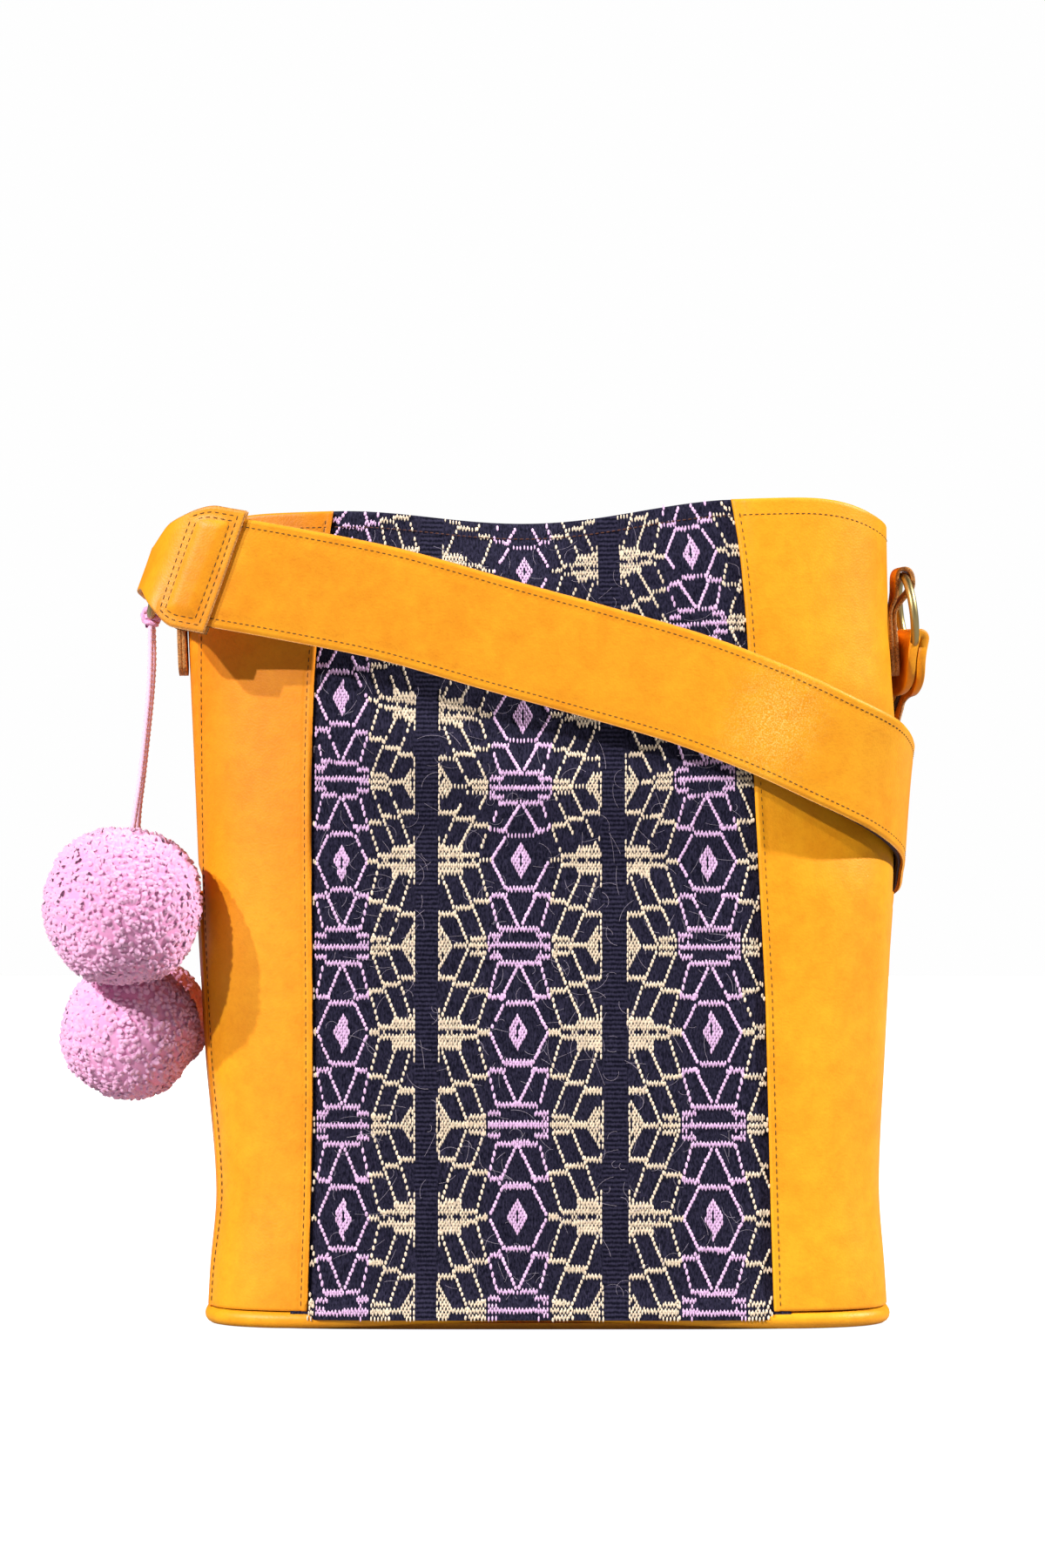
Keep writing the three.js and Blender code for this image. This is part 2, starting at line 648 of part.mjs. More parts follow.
function fused(solids) {
  const whole = solids.reduce((sum, next) => sum.add(next));
  const mesh = whole.getMesh();
  const geometry = new THREE.BufferGeometry();
  geometry.setAttribute('position', new THREE.BufferAttribute(mesh.vertProperties, 3));
  geometry.setIndex(new THREE.BufferAttribute(mesh.triVerts, 1));
  return geometry;
}

const GOLDEN_TURN = Math.PI * (3 - Math.sqrt(5));
const UPRIGHT = new THREE.Vector3(0, 1, 0);

function pompom({ x, y, z, radius, locks }) {
  const core = radius - LOCK_DEPTH;
  const pieces = [solid(bare(new THREE.IcosahedronGeometry(core, 1)))];
  const root = LOCK_SPREAD * core / Math.sqrt(locks);
  for (let i = 0; i < locks; i += 1) {
    const rise = 1 - 2 * (i + 0.5) / locks;
    const flat = Math.sqrt(1 - rise * rise);
    const turn = i * GOLDEN_TURN;
    const way = new THREE.Vector3(flat * Math.cos(turn), flat * Math.sin(turn), rise);
    const lock = bare(new THREE.CylinderGeometry(
      root * LOCK_TIP, root, 2 * LOCK_DEPTH, LOCK_SIDES,
    ));
    lock.applyQuaternion(new THREE.Quaternion().setFromUnitVectors(UPRIGHT, way));
    lock.translate(way.x * core, way.y * core, way.z * core);
    pieces.push(solid(lock));
  }
  const ball = fused(pieces);
  ball.translate(x, y, z);
  return ball;
}

// Cords: round yarn along a route, and the knot that ties both round the left ring.
const CORD_SIDES = 8;

function cord(route) {
  const line = new THREE.CatmullRomCurve3(route.map((p) => new THREE.Vector3(...p)));
  const section = new THREE.Shape();
  section.absarc(0, 0, YARN_DIAMETER / 2, 0, 2 * Math.PI);
  const tube = new THREE.ExtrudeGeometry(section, {
    steps: Math.round(1.5 * route.length), curveSegments: CORD_SIDES / 2, extrudePath: line,
  });
  return mergeVertices(bare(tube), WELD);
}

function cordKnot(place) {
  const swing = THREE.MathUtils.degToRad(place.swing);
  const foot = new THREE.Vector3(
    place.x + RING_RADIUS * Math.sin(swing), place.y, place.z - RING_RADIUS * Math.cos(swing),
  );
  const loopRadius = WIRE_RADIUS + KNOT_ROOM + YARN_DIAMETER / 2;
  const loop = bare(new THREE.TorusGeometry(loopRadius, YARN_DIAMETER / 2, 6, 12));
  loop.rotateX(Math.PI / 2);
  loop.translate(foot.x, foot.y, foot.z);
  const knob = bare(new THREE.IcosahedronGeometry(KNOT_RADIUS, 1));
  knob.translate(foot.x, foot.y, foot.z - loopRadius - KNOT_DROP);
  return fused([solid(loop), solid(knob)]);
}

// The bag
const bag = new THREE.Group();

bag.add(part('base_panel', basePanel(), amberLeather));
bag.add(part('base_piping', basePiping(), amberLeather));
bag.add(part('woven_panel', wovenPanel(), wovenCloth));
bag.add(part('leather_front_left', frontLeft(), amberLeather));
bag.add(part('leather_front_right', frontRight(), amberLeather));
bag.add(part('leather_back', backWall(), amberLeather));
bag.add(part('back_pocket', backPocket(), amberLeather));

bag.add(part('ring_left', ring(RINGS.left), brass));
bag.add(part('ring_right', ring(RINGS.right), brass));
bag.add(part('side_tab_left', sideTab(RINGS.left, -1), amberLeather));
bag.add(part('side_tab_right', sideTab(RINGS.right, 1), amberLeather));

const backingLow = -strapHalfThick;
const backingHigh = backingLow + STRAP_BACKING;
bag.add(part('strap_backing', strapLayer(backingLow, backingHigh), darkBacking));
bag.add(part('strap_leather', strapLayer(backingHigh + GAP, strapHalfThick), amberLeather));
bag.add(part('strap_end_left', strapEnd(false), amberLeather));
bag.add(part('strap_end_right', strapEnd(true), amberLeather));

bag.add(part('cord_knot', cordKnot(RINGS.left), lilacYarn));
bag.add(part('cord_front', cord(CORD_FRONT_ROUTE), lilacYarn));
bag.add(part('cord_rear', cord(CORD_REAR_ROUTE), lilacYarn));
for (const [name, place] of Object.entries(POMPOMS)) {
  bag.add(part(`pompom_${name}`, pompom(place), lilacYarn));
}

export default bag;
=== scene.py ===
# Woven shoulder bag: amber leather walls, a handwoven cloth panel in the front wall, a wide
# strap on two brass rings and lilac yarn pompoms. The shapes are worked out in millimetres
# in the row frame and become metres when a piece is added.

import math

import bpy
import numpy as np
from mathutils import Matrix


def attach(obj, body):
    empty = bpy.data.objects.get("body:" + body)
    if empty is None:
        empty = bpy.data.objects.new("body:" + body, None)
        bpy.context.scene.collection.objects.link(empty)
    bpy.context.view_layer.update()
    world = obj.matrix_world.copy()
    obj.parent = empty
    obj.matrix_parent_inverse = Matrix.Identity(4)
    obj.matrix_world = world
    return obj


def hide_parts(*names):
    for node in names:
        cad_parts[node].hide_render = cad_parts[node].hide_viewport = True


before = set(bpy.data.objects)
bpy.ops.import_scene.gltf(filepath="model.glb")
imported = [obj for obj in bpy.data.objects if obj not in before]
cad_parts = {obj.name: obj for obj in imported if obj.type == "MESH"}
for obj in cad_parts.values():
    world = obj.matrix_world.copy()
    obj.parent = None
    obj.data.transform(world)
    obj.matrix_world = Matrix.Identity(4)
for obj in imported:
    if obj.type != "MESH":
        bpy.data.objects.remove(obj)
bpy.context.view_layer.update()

# Camera: level, in front of the bag, with the long lens of a product picture
camera_data = bpy.data.cameras.new("camera")
camera_data.sensor_fit = "VERTICAL"
camera_data.sensor_height = 36.0
camera_data.lens = 126.8
camera_data.clip_end = 30.0
camera = bpy.data.objects.new("camera", camera_data)
camera.location = (-0.0094, -2.257, 0.2179)
camera.rotation_euler = (math.pi / 2, 0.0, 0.0)
bpy.context.collection.objects.link(camera)
bpy.context.scene.camera = camera

# Cords: lilac knitting yarn of three twisted plies, tied round the foot of the left ring. One
# cord runs down through the upper pompom into the lower one, the other to the rear pompom.
MM = 0.001
YARN_DIAMETER = 2.2
CORD_STEP = 0.7
CORD_SIDES = 12
CORD_PLIES = 3
CORD_LAY = 7.0
CORD_GROOVE = 0.45
PLY_MIDDLE = 0.6
# Painted shade: the darkest share of light painted into the grooves between a cord's plies.
PLY_SHADE = 0.35
CORD_FADED = 0.45
FADED_YARN = np.array([0.93, 0.76, 0.86])
# Painted light and shade of the yarn: its lit colour, and the darker colour painted as shade.
YARN_LIT = np.array([0.86, 0.46, 0.68])
YARN_SHADED = np.array([0.82, 0.31, 0.57])
CORD_FRONT_ROUTE = [
    (-160.8, -8.6, 284.4), (-160.7, -11.4, 268.0), (-161.0, -14.6, 256.0), (-161.9, -18.8, 243.0),
    (-163.0, -24.0, 229.0), (-164.1, -28.9, 217.0), (-165.2, -33.2, 208.0), (-166.8, -39.4, 193.6),
    (-169.0, -44.5, 172.0), (-169.4, -41.0, 152.0), (-169.2, -30.0, 134.0), (-169.1, -18.5, 119.0),
]
CORD_REAR_ROUTE = [
    (-160.0, -7.4, 284.4), (-159.9, -4.6, 268.0), (-161.0, -0.6, 254.0), (-163.0, 5.4, 238.0),
    (-165.2, 12.4, 222.0), (-167.6, 20.0, 206.0), (-168.8, 28.4, 190.0), (-168.4, 35.6, 174.0),
    (-167.4, 39.4, 162.0), (-166.4, 39.9, 153.5), (-165.2, 36.5, 141.9), (-163.8, 34.5, 124.0),
]
KNOT_FOOT = np.array([-160.53, -8.0, 286.32])
KNOT_LOOP_RADIUS = 3.3
KNOT_DROP = 1.8
WRAP_TURNS = 2.5
WRAP_RADIUS = 1.7
WRAP_BELLY = 0.5
WRAP_HALF_HEIGHT = 1.9
LOOP_POINTS = 60
WRAP_POINTS = 110
FINE_POINTS = 2000


def unit(vectors):
    """Each vector divided by its length."""
    return vectors / np.linalg.norm(vectors, axis=-1, keepdims=True)


def smooth_at(keys, values, at):
    """Smooth curve through a table: between two rows it is a cubic whose slopes at the rows
    come from the rows on either side."""
    keys = np.asarray(keys, float)
    values = np.asarray(values, float)
    at = np.clip(at, keys[0], keys[-1])
    before = np.maximum(np.arange(len(keys)) - 1, 0)
    after = np.minimum(np.arange(len(keys)) + 1, len(keys) - 1)
    slopes = (values[after] - values[before]) / (keys[after] - keys[before])
    i = np.clip(np.searchsorted(keys, at) - 1, 0, len(keys) - 2)
    span = keys[i + 1] - keys[i]
    t = (at - keys[i]) / span
    rise = t * t * (3 - 2 * t)
    curve = values[i] * (1 - rise) + values[i + 1] * rise
    return curve + slopes[i] * span * t * (1 - t) ** 2 - slopes[i + 1] * span * t * t * (1 - t)


def run_along(line):
    """Distance along a line of points, counted from its first point."""
    steps = np.linalg.norm(np.diff(line, axis=0), axis=1)
    return np.concatenate([[0.0], np.cumsum(steps)])


def columns_at(keys, rows, at):
    """Each column of a table of rows, read linearly at the given keys."""
    return np.stack([np.interp(at, keys, column) for column in rows.T], axis=-1)


def smooth_route(points, step):
    """Even steps along the smooth line through some points."""
    points = np.asarray(points, float)
    run = run_along(points)
    fine = np.linspace(0.0, run[-1], FINE_POINTS)
    line = np.stack([smooth_at(run, column, fine) for column in points.T], axis=1)
    length = run_along(line)
    even = np.linspace(0.0, length[-1], int(length[-1] / step) + 1)
    return columns_at(length, line, even)


def grid_quads(rows, columns, wrap=False):
    """Quads of a grid of points stored row by row. wrap joins the last column to the first."""
    i = np.arange(rows - 1)[:, None]
    j = np.arange(columns if wrap else columns - 1)[None, :]
    k = (j + 1) % columns
    corners = [i * columns + j, i * columns + k, (i + 1) * columns + k, (i + 1) * columns + j]
    return np.stack(corners, axis=-1).reshape(-1, 4)


def ring_spokes(across, out, sides):
    """Spokes of rings that lie in the plane of two directions, evenly round from the first one."""
    angle = 2 * np.pi * np.arange(sides)[:, None] / sides
    return across[..., None, :] * np.cos(angle) + out[..., None, :] * np.sin(angle)


def add_piece(name, points, faces, slot, material, replaces=True, values=None, tints=None, normals=None):
    """A mesh piece from points in millimetres and rows of quads or triangles, in place of the node of
    its name or added to it. values are named numbers for each point, tints a colour for each point,
    and normals its own shading direction."""
    fan = points[faces[:, :3]] - points.mean(axis=0)
    if np.einsum("ij,ij->i", fan[:, 0], np.cross(fan[:, 1], fan[:, 2])).sum() < 0:
        faces = faces[:, ::-1]
    mesh = bpy.data.meshes.new(name + "_look")
    mesh.vertices.add(len(points))
    mesh.vertices.foreach_set("co", (points * MM).astype(np.float32).ravel())
    mesh.loops.add(faces.size)
    mesh.loops.foreach_set("vertex_index", faces.astype(np.int32).ravel())
    mesh.polygons.add(len(faces))
    starts = np.arange(0, faces.size, faces.shape[1], dtype=np.int32)
    mesh.polygons.foreach_set("loop_start", starts)
    mesh.polygons.foreach_set("use_smooth", np.ones(len(faces), bool))
    for key, numbers in (values or {}).items():
        layer = mesh.attributes.new(key, "FLOAT", "POINT")
        layer.data.foreach_set("value", numbers.astype(np.float32))
    if tints is not None:
        layer = mesh.attributes.new("tint", "FLOAT_COLOR", "POINT")
        opaque = np.concatenate([tints, np.ones((len(tints), 1))], axis=1)
        layer.data.foreach_set("color", opaque.astype(np.float32).ravel())
    mesh.update(calc_edges=True)
    if normals is not None:
        mesh.normals_split_custom_set_from_vertices(normals.tolist())
    mesh.materials.append(material)
    piece = bpy.data.objects.new(name + "_look", mesh)
    bpy.context.collection.objects.link(piece)
    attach(piece, "root")
    if replaces:
        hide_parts(name)
    return piece


def joined(parts):
    """Several lots of points and faces as one."""
    starts = np.cumsum([0] + [len(points) for points, _ in parts[:-1]])
    faces = [part[1] + start for part, start in zip(parts, starts)]
    return np.concatenate([points for points, _ in parts]), np.concatenate(faces)


def set_input(tree, socket, value):
    """Sets a shader node's input to a value, or links it to another node's output."""
    if isinstance(value, bpy.types.NodeSocket):
        tree.links.new(value, socket)
    else:
        socket.default_value = value


def set_inputs(tree, node, **inputs):
    """Sets a shader node's inputs by name, with spaces written as underscores."""
    for key, value in inputs.items():
        set_input(tree, node.inputs[key.replace("_", " ")], value)
    return node


def point_value(tree, name, output="Fac"):
    """What a piece's own value is at each point."""
    node = tree.nodes.new("ShaderNodeAttribute")
    node.attribute_name = name
    return node.outputs[output]


def dress(material, **inputs):
    """Sets the inputs of a material's main shader."""
    set_inputs(material.node_tree, material.node_tree.nodes["Principled BSDF"], **inputs)


def new_material(name, **inputs):
    """A new material with its main shader's inputs set by name."""
    material = bpy.data.materials.new(name)
    material.use_nodes = True
    dress(material, **inputs)
    return material


def yarn_material(name, sheen):
    """Matte yarn that takes its colour from the piece's own tint."""
    material = new_material(
        name, Roughness=0.95, Specular_IOR_Level=0.12, Sheen_Weight=sheen, Sheen_Roughness=0.5,
    )
    dress(material, Base_Color=point_value(material.node_tree, "tint", "Color"))
    return material


def yarn_tints(shares):
    """Colours between the yarn's painted shade and its lit tone."""
    return YARN_SHADED + (YARN_LIT - YARN_SHADED) * shares[:, None]


def twisted_yarn(line):
    """Points, quads and shares of painted light of a cord: at each point of its line stands a ring, a
    clover of the plies that turns once for each lay. The grooves between the plies get painted shade."""
    run = run_along(line)[:, None]
    angle = 2 * np.pi * np.arange(CORD_SIDES)[None, :] / CORD_SIDES
    ply = 0.5 + 0.5 * np.cos(CORD_PLIES * (angle - 2 * np.pi * run / CORD_LAY))
    radii = YARN_DIAMETER / 2 * (1 + CORD_GROOVE * (ply - PLY_MIDDLE))
    way = unit(np.gradient(line, axis=0))
    across = unit(np.cross(way, (1.0, 0.0, 0.0)))
    points = line[:, None] + ring_spokes(across, np.cross(across, way), CORD_SIDES) * radii[..., None]
    quads = grid_quads(len(line), CORD_SIDES, wrap=True)
    return points.reshape(-1, 3), quads, PLY_SHADE + (1 - PLY_SHADE) * ply.ravel()


def cord_piece(name, route):
    """One cord along its route, a little faded, and its line."""
    line = smooth_route(route, CORD_STEP)
    points, quads, shares = twisted_yarn(line)
    tints = yarn_tints(shares)
    tints = tints + CORD_FADED * (FADED_YARN - tints)
    return add_piece(name, points, quads, "lilac_yarn", lilac_yarn, tints=tints), line


lilac_yarn = yarn_material("lilac_yarn", 0.12)
cord_front, cord_front_line = cord_piece("cord_front", CORD_FRONT_ROUTE)
cord_rear, cord_rear_line = cord_piece("cord_rear", CORD_REAR_ROUTE)

loop_turn = np.linspace(0.0, 2 * np.pi, LOOP_POINTS)
loop_spokes = np.stack([np.cos(loop_turn), 0 * loop_turn, np.sin(loop_turn)], axis=1)
knot_loop = twisted_yarn(KNOT_FOOT + KNOT_LOOP_RADIUS * loop_spokes)
wrap_share = np.linspace(0.0, 1.0, WRAP_POINTS)
wrap_turn = 2 * np.pi * WRAP_TURNS * wrap_share
wrap_radius = WRAP_RADIUS + WRAP_BELLY * np.sin(np.pi * wrap_share)
wrap_rise = WRAP_HALF_HEIGHT * np.cos(np.pi * wrap_share) - KNOT_DROP
wrap_spokes = [wrap_radius * np.cos(wrap_turn), wrap_radius * np.sin(wrap_turn), wrap_rise]
knot_wrap = twisted_yarn(KNOT_FOOT + np.stack(wrap_spokes, axis=1))
knot_points, knot_quads = joined([knot_loop[:2], knot_wrap[:2]])
knot_tints = yarn_tints(np.concatenate([knot_loop[2], knot_wrap[2]]))
cord_knot = add_piece("cord_knot", knot_points, knot_quads, "lilac_yarn", lilac_yarn, tints=knot_tints)

# Pompoms: balls of cut yarn ends, packed round a tied middle. The ends stand out in all
# directions, a little bent and uneven, and shade is painted on the ball between them.
STRAND_SIDES = 6
STRAND_RINGS = np.array([0.82, 0.94, 0.985, 1.0])
STRAND_RADII = np.array([0.9, 1.12, 1.02, 0.5])
# Painted shade along each strand: dark at its root, light at its tip.
STRAND_SHADES = np.array([0.1, 0.55, 0.97, 1.0])
STRAND_SPREAD = 0.5
STRAND_BEND = 0.85
STRAND_JITTER = 0.022
STRAND_UNEVEN = 0.034
CORE_SHARE = 0.945
# Painted shade of the core that shows between the strands.
CORE_SHADE = 0.3
CORE_STEPS = 40
LUMP_HEIGHT = 0.034
LUMPS_ACROSS = 4.6
LUMPS_UP = 3.7
GOLDEN_TURN = math.pi * (3 - math.sqrt(5))
TIP_NORMAL = np.array([1.0, 1.0, 0.55])
SPOKE_NORMAL = 0.4
STRAND_THICKNESS = (0.8, 1.2)
STRAND_TONES = (-0.16, 0.1)
POLE_GAP = 0.02
rng = np.random.default_rng(11)


def pompom_lumps(way, radius):
    """Share of its radius that a pompom reaches in a direction, in broad humps that differ with size."""
    humps = np.sin(LUMPS_ACROSS * way[:, 0] + radius) * np.sin(LUMPS_UP * way[:, 2] + 2 * radius)
    return 1 + LUMP_HEIGHT * humps


def pompom(name, centre, radius, strands):
    """Yarn ends in an even spiral over a ball, each a short bent tube from near the middle to its own
    length, painted darker towards its root as shade, round a core painted dark as shade."""
    centre = np.array(centre)
    rise = 1 - 2 * (np.arange(strands) + 0.5) / strands
    flat = np.sqrt(1 - rise ** 2)
    spiral = np.arange(strands) * GOLDEN_TURN
    way = np.stack([flat * np.cos(spiral), flat * np.sin(spiral), rise], axis=1)
    way = unit(way + rng.normal(0, STRAND_JITTER, way.shape))
    lean = rng.normal(0, STRAND_SPREAD, way.shape)
    reach = radius * (1 - np.abs(rng.normal(0, STRAND_UNEVEN, strands))) * pompom_lumps(way, radius)
    share = STRAND_RINGS[None, :, None]
    line = reach[:, None, None] * share * unit(way[:, None] + lean[:, None] * (share - STRAND_BEND))
    across = unit(np.cross(way, rng.normal(0, 1, way.shape)))
    spokes = ring_spokes(across, np.cross(across, way), STRAND_SIDES)[:, None]
    thick = rng.uniform(*STRAND_THICKNESS, (strands, 1, 1, 1))
    points = centre + line[:, :, None] + STRAND_RADII[:, None, None] * thick * spokes
    normals = np.broadcast_to(unit((way * TIP_NORMAL)[:, None, None] + SPOKE_NORMAL * spokes), points.shape)
    shares = np.clip(STRAND_SHADES[:, None] + rng.uniform(*STRAND_TONES, (strands, 1, 1)), 0, 1)
    shares = np.broadcast_to(shares, points.shape[:3])
    each = len(STRAND_RINGS) * STRAND_SIDES
    tip = each - STRAND_SIDES + np.array([(0, 1, 2, 3), (0, 3, 4, 5)])
    one = np.concatenate([grid_quads(len(STRAND_RINGS), STRAND_SIDES, wrap=True), tip])[:, ::-1]
    faces = one[None] + each * np.arange(strands)[:, None, None]
    latitude = np.linspace(POLE_GAP, np.pi - POLE_GAP, CORE_STEPS)[:, None]
    longitude = np.linspace(0.0, 2 * np.pi, 2 * CORE_STEPS, endpoint=False)[None, :]
    ball = [np.sin(latitude) * np.cos(longitude), np.sin(latitude) * np.sin(longitude), np.cos(latitude)]
    ball = np.stack(np.broadcast_arrays(*ball), axis=-1).reshape(-1, 3)
    core = centre + CORE_SHARE * radius * pompom_lumps(ball, radius)[:, None] * ball
    core_quads = grid_quads(CORE_STEPS, 2 * CORE_STEPS, wrap=True)[:, ::-1]
    points, faces = joined([(points.reshape(-1, 3), faces.reshape(-1, 4)), (core, core_quads)])
    normals = np.concatenate([normals.reshape(-1, 3), ball])
    tints = yarn_tints(np.concatenate([shares.ravel(), np.full(len(core), CORE_SHADE)]))
    return add_piece(name, points, faces, "lilac_yarn", lilac_yarn, tints=tints, normals=normals)


pompom_upper = pompom("pompom_upper", (-169.4, -46.0, 168.8), 32.6, 3700)
pompom_lower = pompom("pompom_lower", (-169.1, -17.0, 117.8), 28.6, 2850)
pompom_rear = pompom("pompom_rear", (-163.9, 34.0, 120.7), 25.2, 2200)


# Leather at the front corners: two pieces of smooth amber cowhide, sewn over the edges of the
# cloth with a folded ridge and lapped over the back wall at the bag's sides.
SECTION_HEIGHTS = [0, 22, 55, 110, 180, 235, 264, 292, 334]
SECTION_LEFT = [-137.5, -136.3, -133.6, -138.0, -141.5, -144.1, -145.4, -146.5, -148.0]
SECTION_RIGHT = [139.0, 137.8, 136.2, 138.4, 141.0, 142.2, 140.6, 139.6, 139.2]
SECTION_FRONT = [57, 57, 57, 57, 56, 53.6, 52.0, 50.0, 46]
SECTION_BACK = [57, 57, 57, 57, 57, 55.4, 54.2, 52.8, 50]
SECTION_SQUARE = [4.2, 4.2, 4.0, 3.8, 3.6, 3.35, 3.25, 3.15, 3.0]
CLOTH_MIDDLE = -3.9
CLOTH_HEIGHTS = [0, 50, 92, 134, 176, 218, 260, 300, 340]
CLOTH_LEFT = [-91.8, -90.4, -89.6, -89.6, -90.0, -90.2, -89.6, -88.4, -87.4]
CLOTH_RIGHT = [95.2, 93.8, 92.7, 91.6, 89.4, 87.2, 85.9, 85.7, 86.2]
DENT_DEPTH = 36.0
DENT_FOOT = 170.0
DENT_TOP = 325.0
DENT_HALF = 96.0
HOLLOW_DEPTH = 5.0
HOLLOW_DISTANCE = 126.0
HOLLOW_HEIGHT = 216.0
HOLLOW_HALF = 46.0
BROAD_WAVE = 0.55
BROAD_ACROSS = 37.0
BROAD_UP = 43.0
NARROW_WAVE = 0.3
NARROW_ACROSS = 17.0
NARROW_UP = 61.0
WAVES_RISE = (5.0, 60.0)
RIM_HEIGHT = 330.0
RIM_SLOPE = 0.03
RIM_SAG_FRONT = 6.0
RIM_SAG_BACK = 5.0
RIM_SAG_HALF = 80.0
MOUTH_MIDDLE = -4.4
MOUTH_HALF = 143.6
SIDE_FALL = 11.0
SIDE_START = 0.7
SIDE_SPAN = 0.3
TABLE_TOP = 340
FIRST_DISTANCE = -330
LAST_DISTANCE = 560
OUTLINE_POINTS = 1440
WALL_FOOT = 7.4
LEATHER = 1.8
UNDER_LAP = -2.5
SEAM_LEFT = 27.0
SEAM_RIGHT = 1.0
EDGE_ROUND = 0.9
RIDGE_WIDTH = 2.6
RIDGE_HEIGHT = 0.5
RIDGE_FOOT = 0.4
GROOVE_DEPTH = 0.3
GROOVE_WIDTH = 0.7
SEAM_STITCH = 2.6
HEM_STITCH = 6.5
RAW_SEAM = 0.8
# Painted shade: the left front piece is painted darker upwards, from its low share to full.
LEFT_SHADE_LOW = 0.3
LEFT_SHADE_RISE = 0.65
LEFT_SHADE_HEIGHTS = (90.0, 250.0)
FRONT_ACROSS = (105.0, 2.2, 6.0)
FRONT_UP = (322.0, 2.5, 3.0)


def hump(x, half):
    """A smooth hill that is 1 in the middle and 0 from half its width on."""
    return np.where(np.abs(x) < half, np.cos(np.pi * np.clip(x / half, -1, 1) / 2) ** 2, 0.0)


def ease(start, end, x):
    """A smooth step from 0 at the start to 1 at the end."""
    t = np.clip((x - start) / (end - start), 0, 1)
    return t * t * (3 - 2 * t)


# Table of the bag's outer face: one row for each millimetre of height, one column for each
# millimetre of distance from the cloth's middle, to the right round the bag.
table_heights = np.arange(TABLE_TOP + 1.0)
table_distances = np.arange(FIRST_DISTANCE, LAST_DISTANCE + 1.0)
outline_angle = -np.pi / 2 + 2 * np.pi * np.arange(OUTLINE_POINTS + 1) / OUTLINE_POINTS
sections = (SECTION_LEFT, SECTION_RIGHT, SECTION_FRONT, SECTION_BACK, SECTION_SQUARE)
left_edge, right_edge, front_depth, back_depth, square = (
    smooth_at(SECTION_HEIGHTS, section, table_heights)[:, None] for section in sections
)
power = 2 / square
c = np.cos(outline_angle)[None, :]
s = np.sin(outline_angle)[None, :]
outline_x = (left_edge + right_edge) / 2 + (right_edge - left_edge) / 2 * np.sign(c) * np.abs(c) ** power
outline_y = np.where(s < 0, front_depth, back_depth) * np.sign(s) * np.abs(s) ** power
dent = DENT_DEPTH * np.maximum(0, (table_heights - DENT_FOOT) / (DENT_TOP - DENT_FOOT)) ** 2
outline_y = outline_y + np.where(s < 0, dent[:, None] * hump(outline_x - CLOTH_MIDDLE, DENT_HALF), 0)
steps = np.hypot(np.diff(outline_x, axis=1), np.diff(outline_y, axis=1))
outline_run = np.concatenate([np.zeros((len(steps), 1)), np.cumsum(steps, axis=1)], axis=1)
outline_total = outline_run[:, -1]
quarter = OUTLINE_POINTS // 4


def outline_zero(row):
    """Distance along one outline from its start back to the cloth's middle."""
    front = slice(OUTLINE_POINTS * 7 // 8, OUTLINE_POINTS + 1)
    return np.interp(CLOTH_MIDDLE, outline_x[row, front], outline_run[row, front]) - outline_total[row]


outline_start = np.array([outline_zero(row) for row in range(TABLE_TOP + 1)])


def outline_table(values):
    """One value of the outlines at the table's heights and distances."""
    rows = range(TABLE_TOP + 1)
    along = [(table_distances + outline_start[row]) % outline_total[row] for row in rows]
    return np.stack([np.interp(along[row], outline_run[row], values[row]) for row in rows])


skin_x = outline_table(outline_x)
skin_y = outline_table(outline_y)
skin_way_x = np.gradient(skin_x, axis=1)
skin_way_y = np.gradient(skin_y, axis=1)


def look_up(table, distance, height):
    """A table of the skin read between its points, linear both ways."""
    column = np.clip(distance - FIRST_DISTANCE, 0, table.shape[1] - 1.001)
    row = np.clip(height, 0, table.shape[0] - 1.001)
    i = row.astype(int)
    j = column.astype(int)
    a = row - i
    b = column - j
    low = (1 - b) * table[i, j] + b * table[i, j + 1]
    high = (1 - b) * table[i + 1, j] + b * table[i + 1, j + 1]
    return (1 - a) * low + a * high


def skin_normal(distance, height):
    """Level direction out of the bag's face."""
    way_x = look_up(skin_way_x, distance, height)
    way_y = look_up(skin_way_y, distance, height)
    return unit(np.stack([way_y, -way_x, 0 * way_x], axis=-1))


def skin_point(distance, height, outwards):
    """Points of the bag's face at a distance and a height, moved outwards. The soft walls have slight
    waves above the base, and the right front corner sinks in where the strap crosses it."""
    broad = BROAD_WAVE * np.sin(distance / BROAD_ACROSS + 1.0) * np.sin(height / BROAD_UP + 0.4)
    narrow = NARROW_WAVE * np.sin(distance / NARROW_ACROSS + height / NARROW_UP)
    lift = outwards + (broad + narrow) * ease(*WAVES_RISE, height)
    hollow = hump(distance - HOLLOW_DISTANCE, HOLLOW_HALF) * hump(height - HOLLOW_HEIGHT, HOLLOW_HALF)
    lift = lift - HOLLOW_DEPTH * hollow
    spot = [look_up(skin_x, distance, height), look_up(skin_y, distance, height), height]
    return np.stack(spot, axis=-1) + skin_normal(distance, height) * lift[..., None]


def edge_line(heights, distances):
    """A line up the bag, as a function that gives its distance at a height."""
    return lambda height: np.interp(height, heights, distances)


outline_length = edge_line(table_heights, outline_total)
side_right = outline_run[:, quarter] - outline_start
side_left = outline_run[:, 3 * quarter] - outline_total - outline_start
seam_right = edge_line(table_heights, side_right + SEAM_RIGHT)
seam_left = edge_line(table_heights, side_left + SEAM_LEFT)
cloth_left = edge_line(CLOTH_HEIGHTS, CLOTH_LEFT)
cloth_right = edge_line(CLOTH_HEIGHTS, CLOTH_RIGHT)


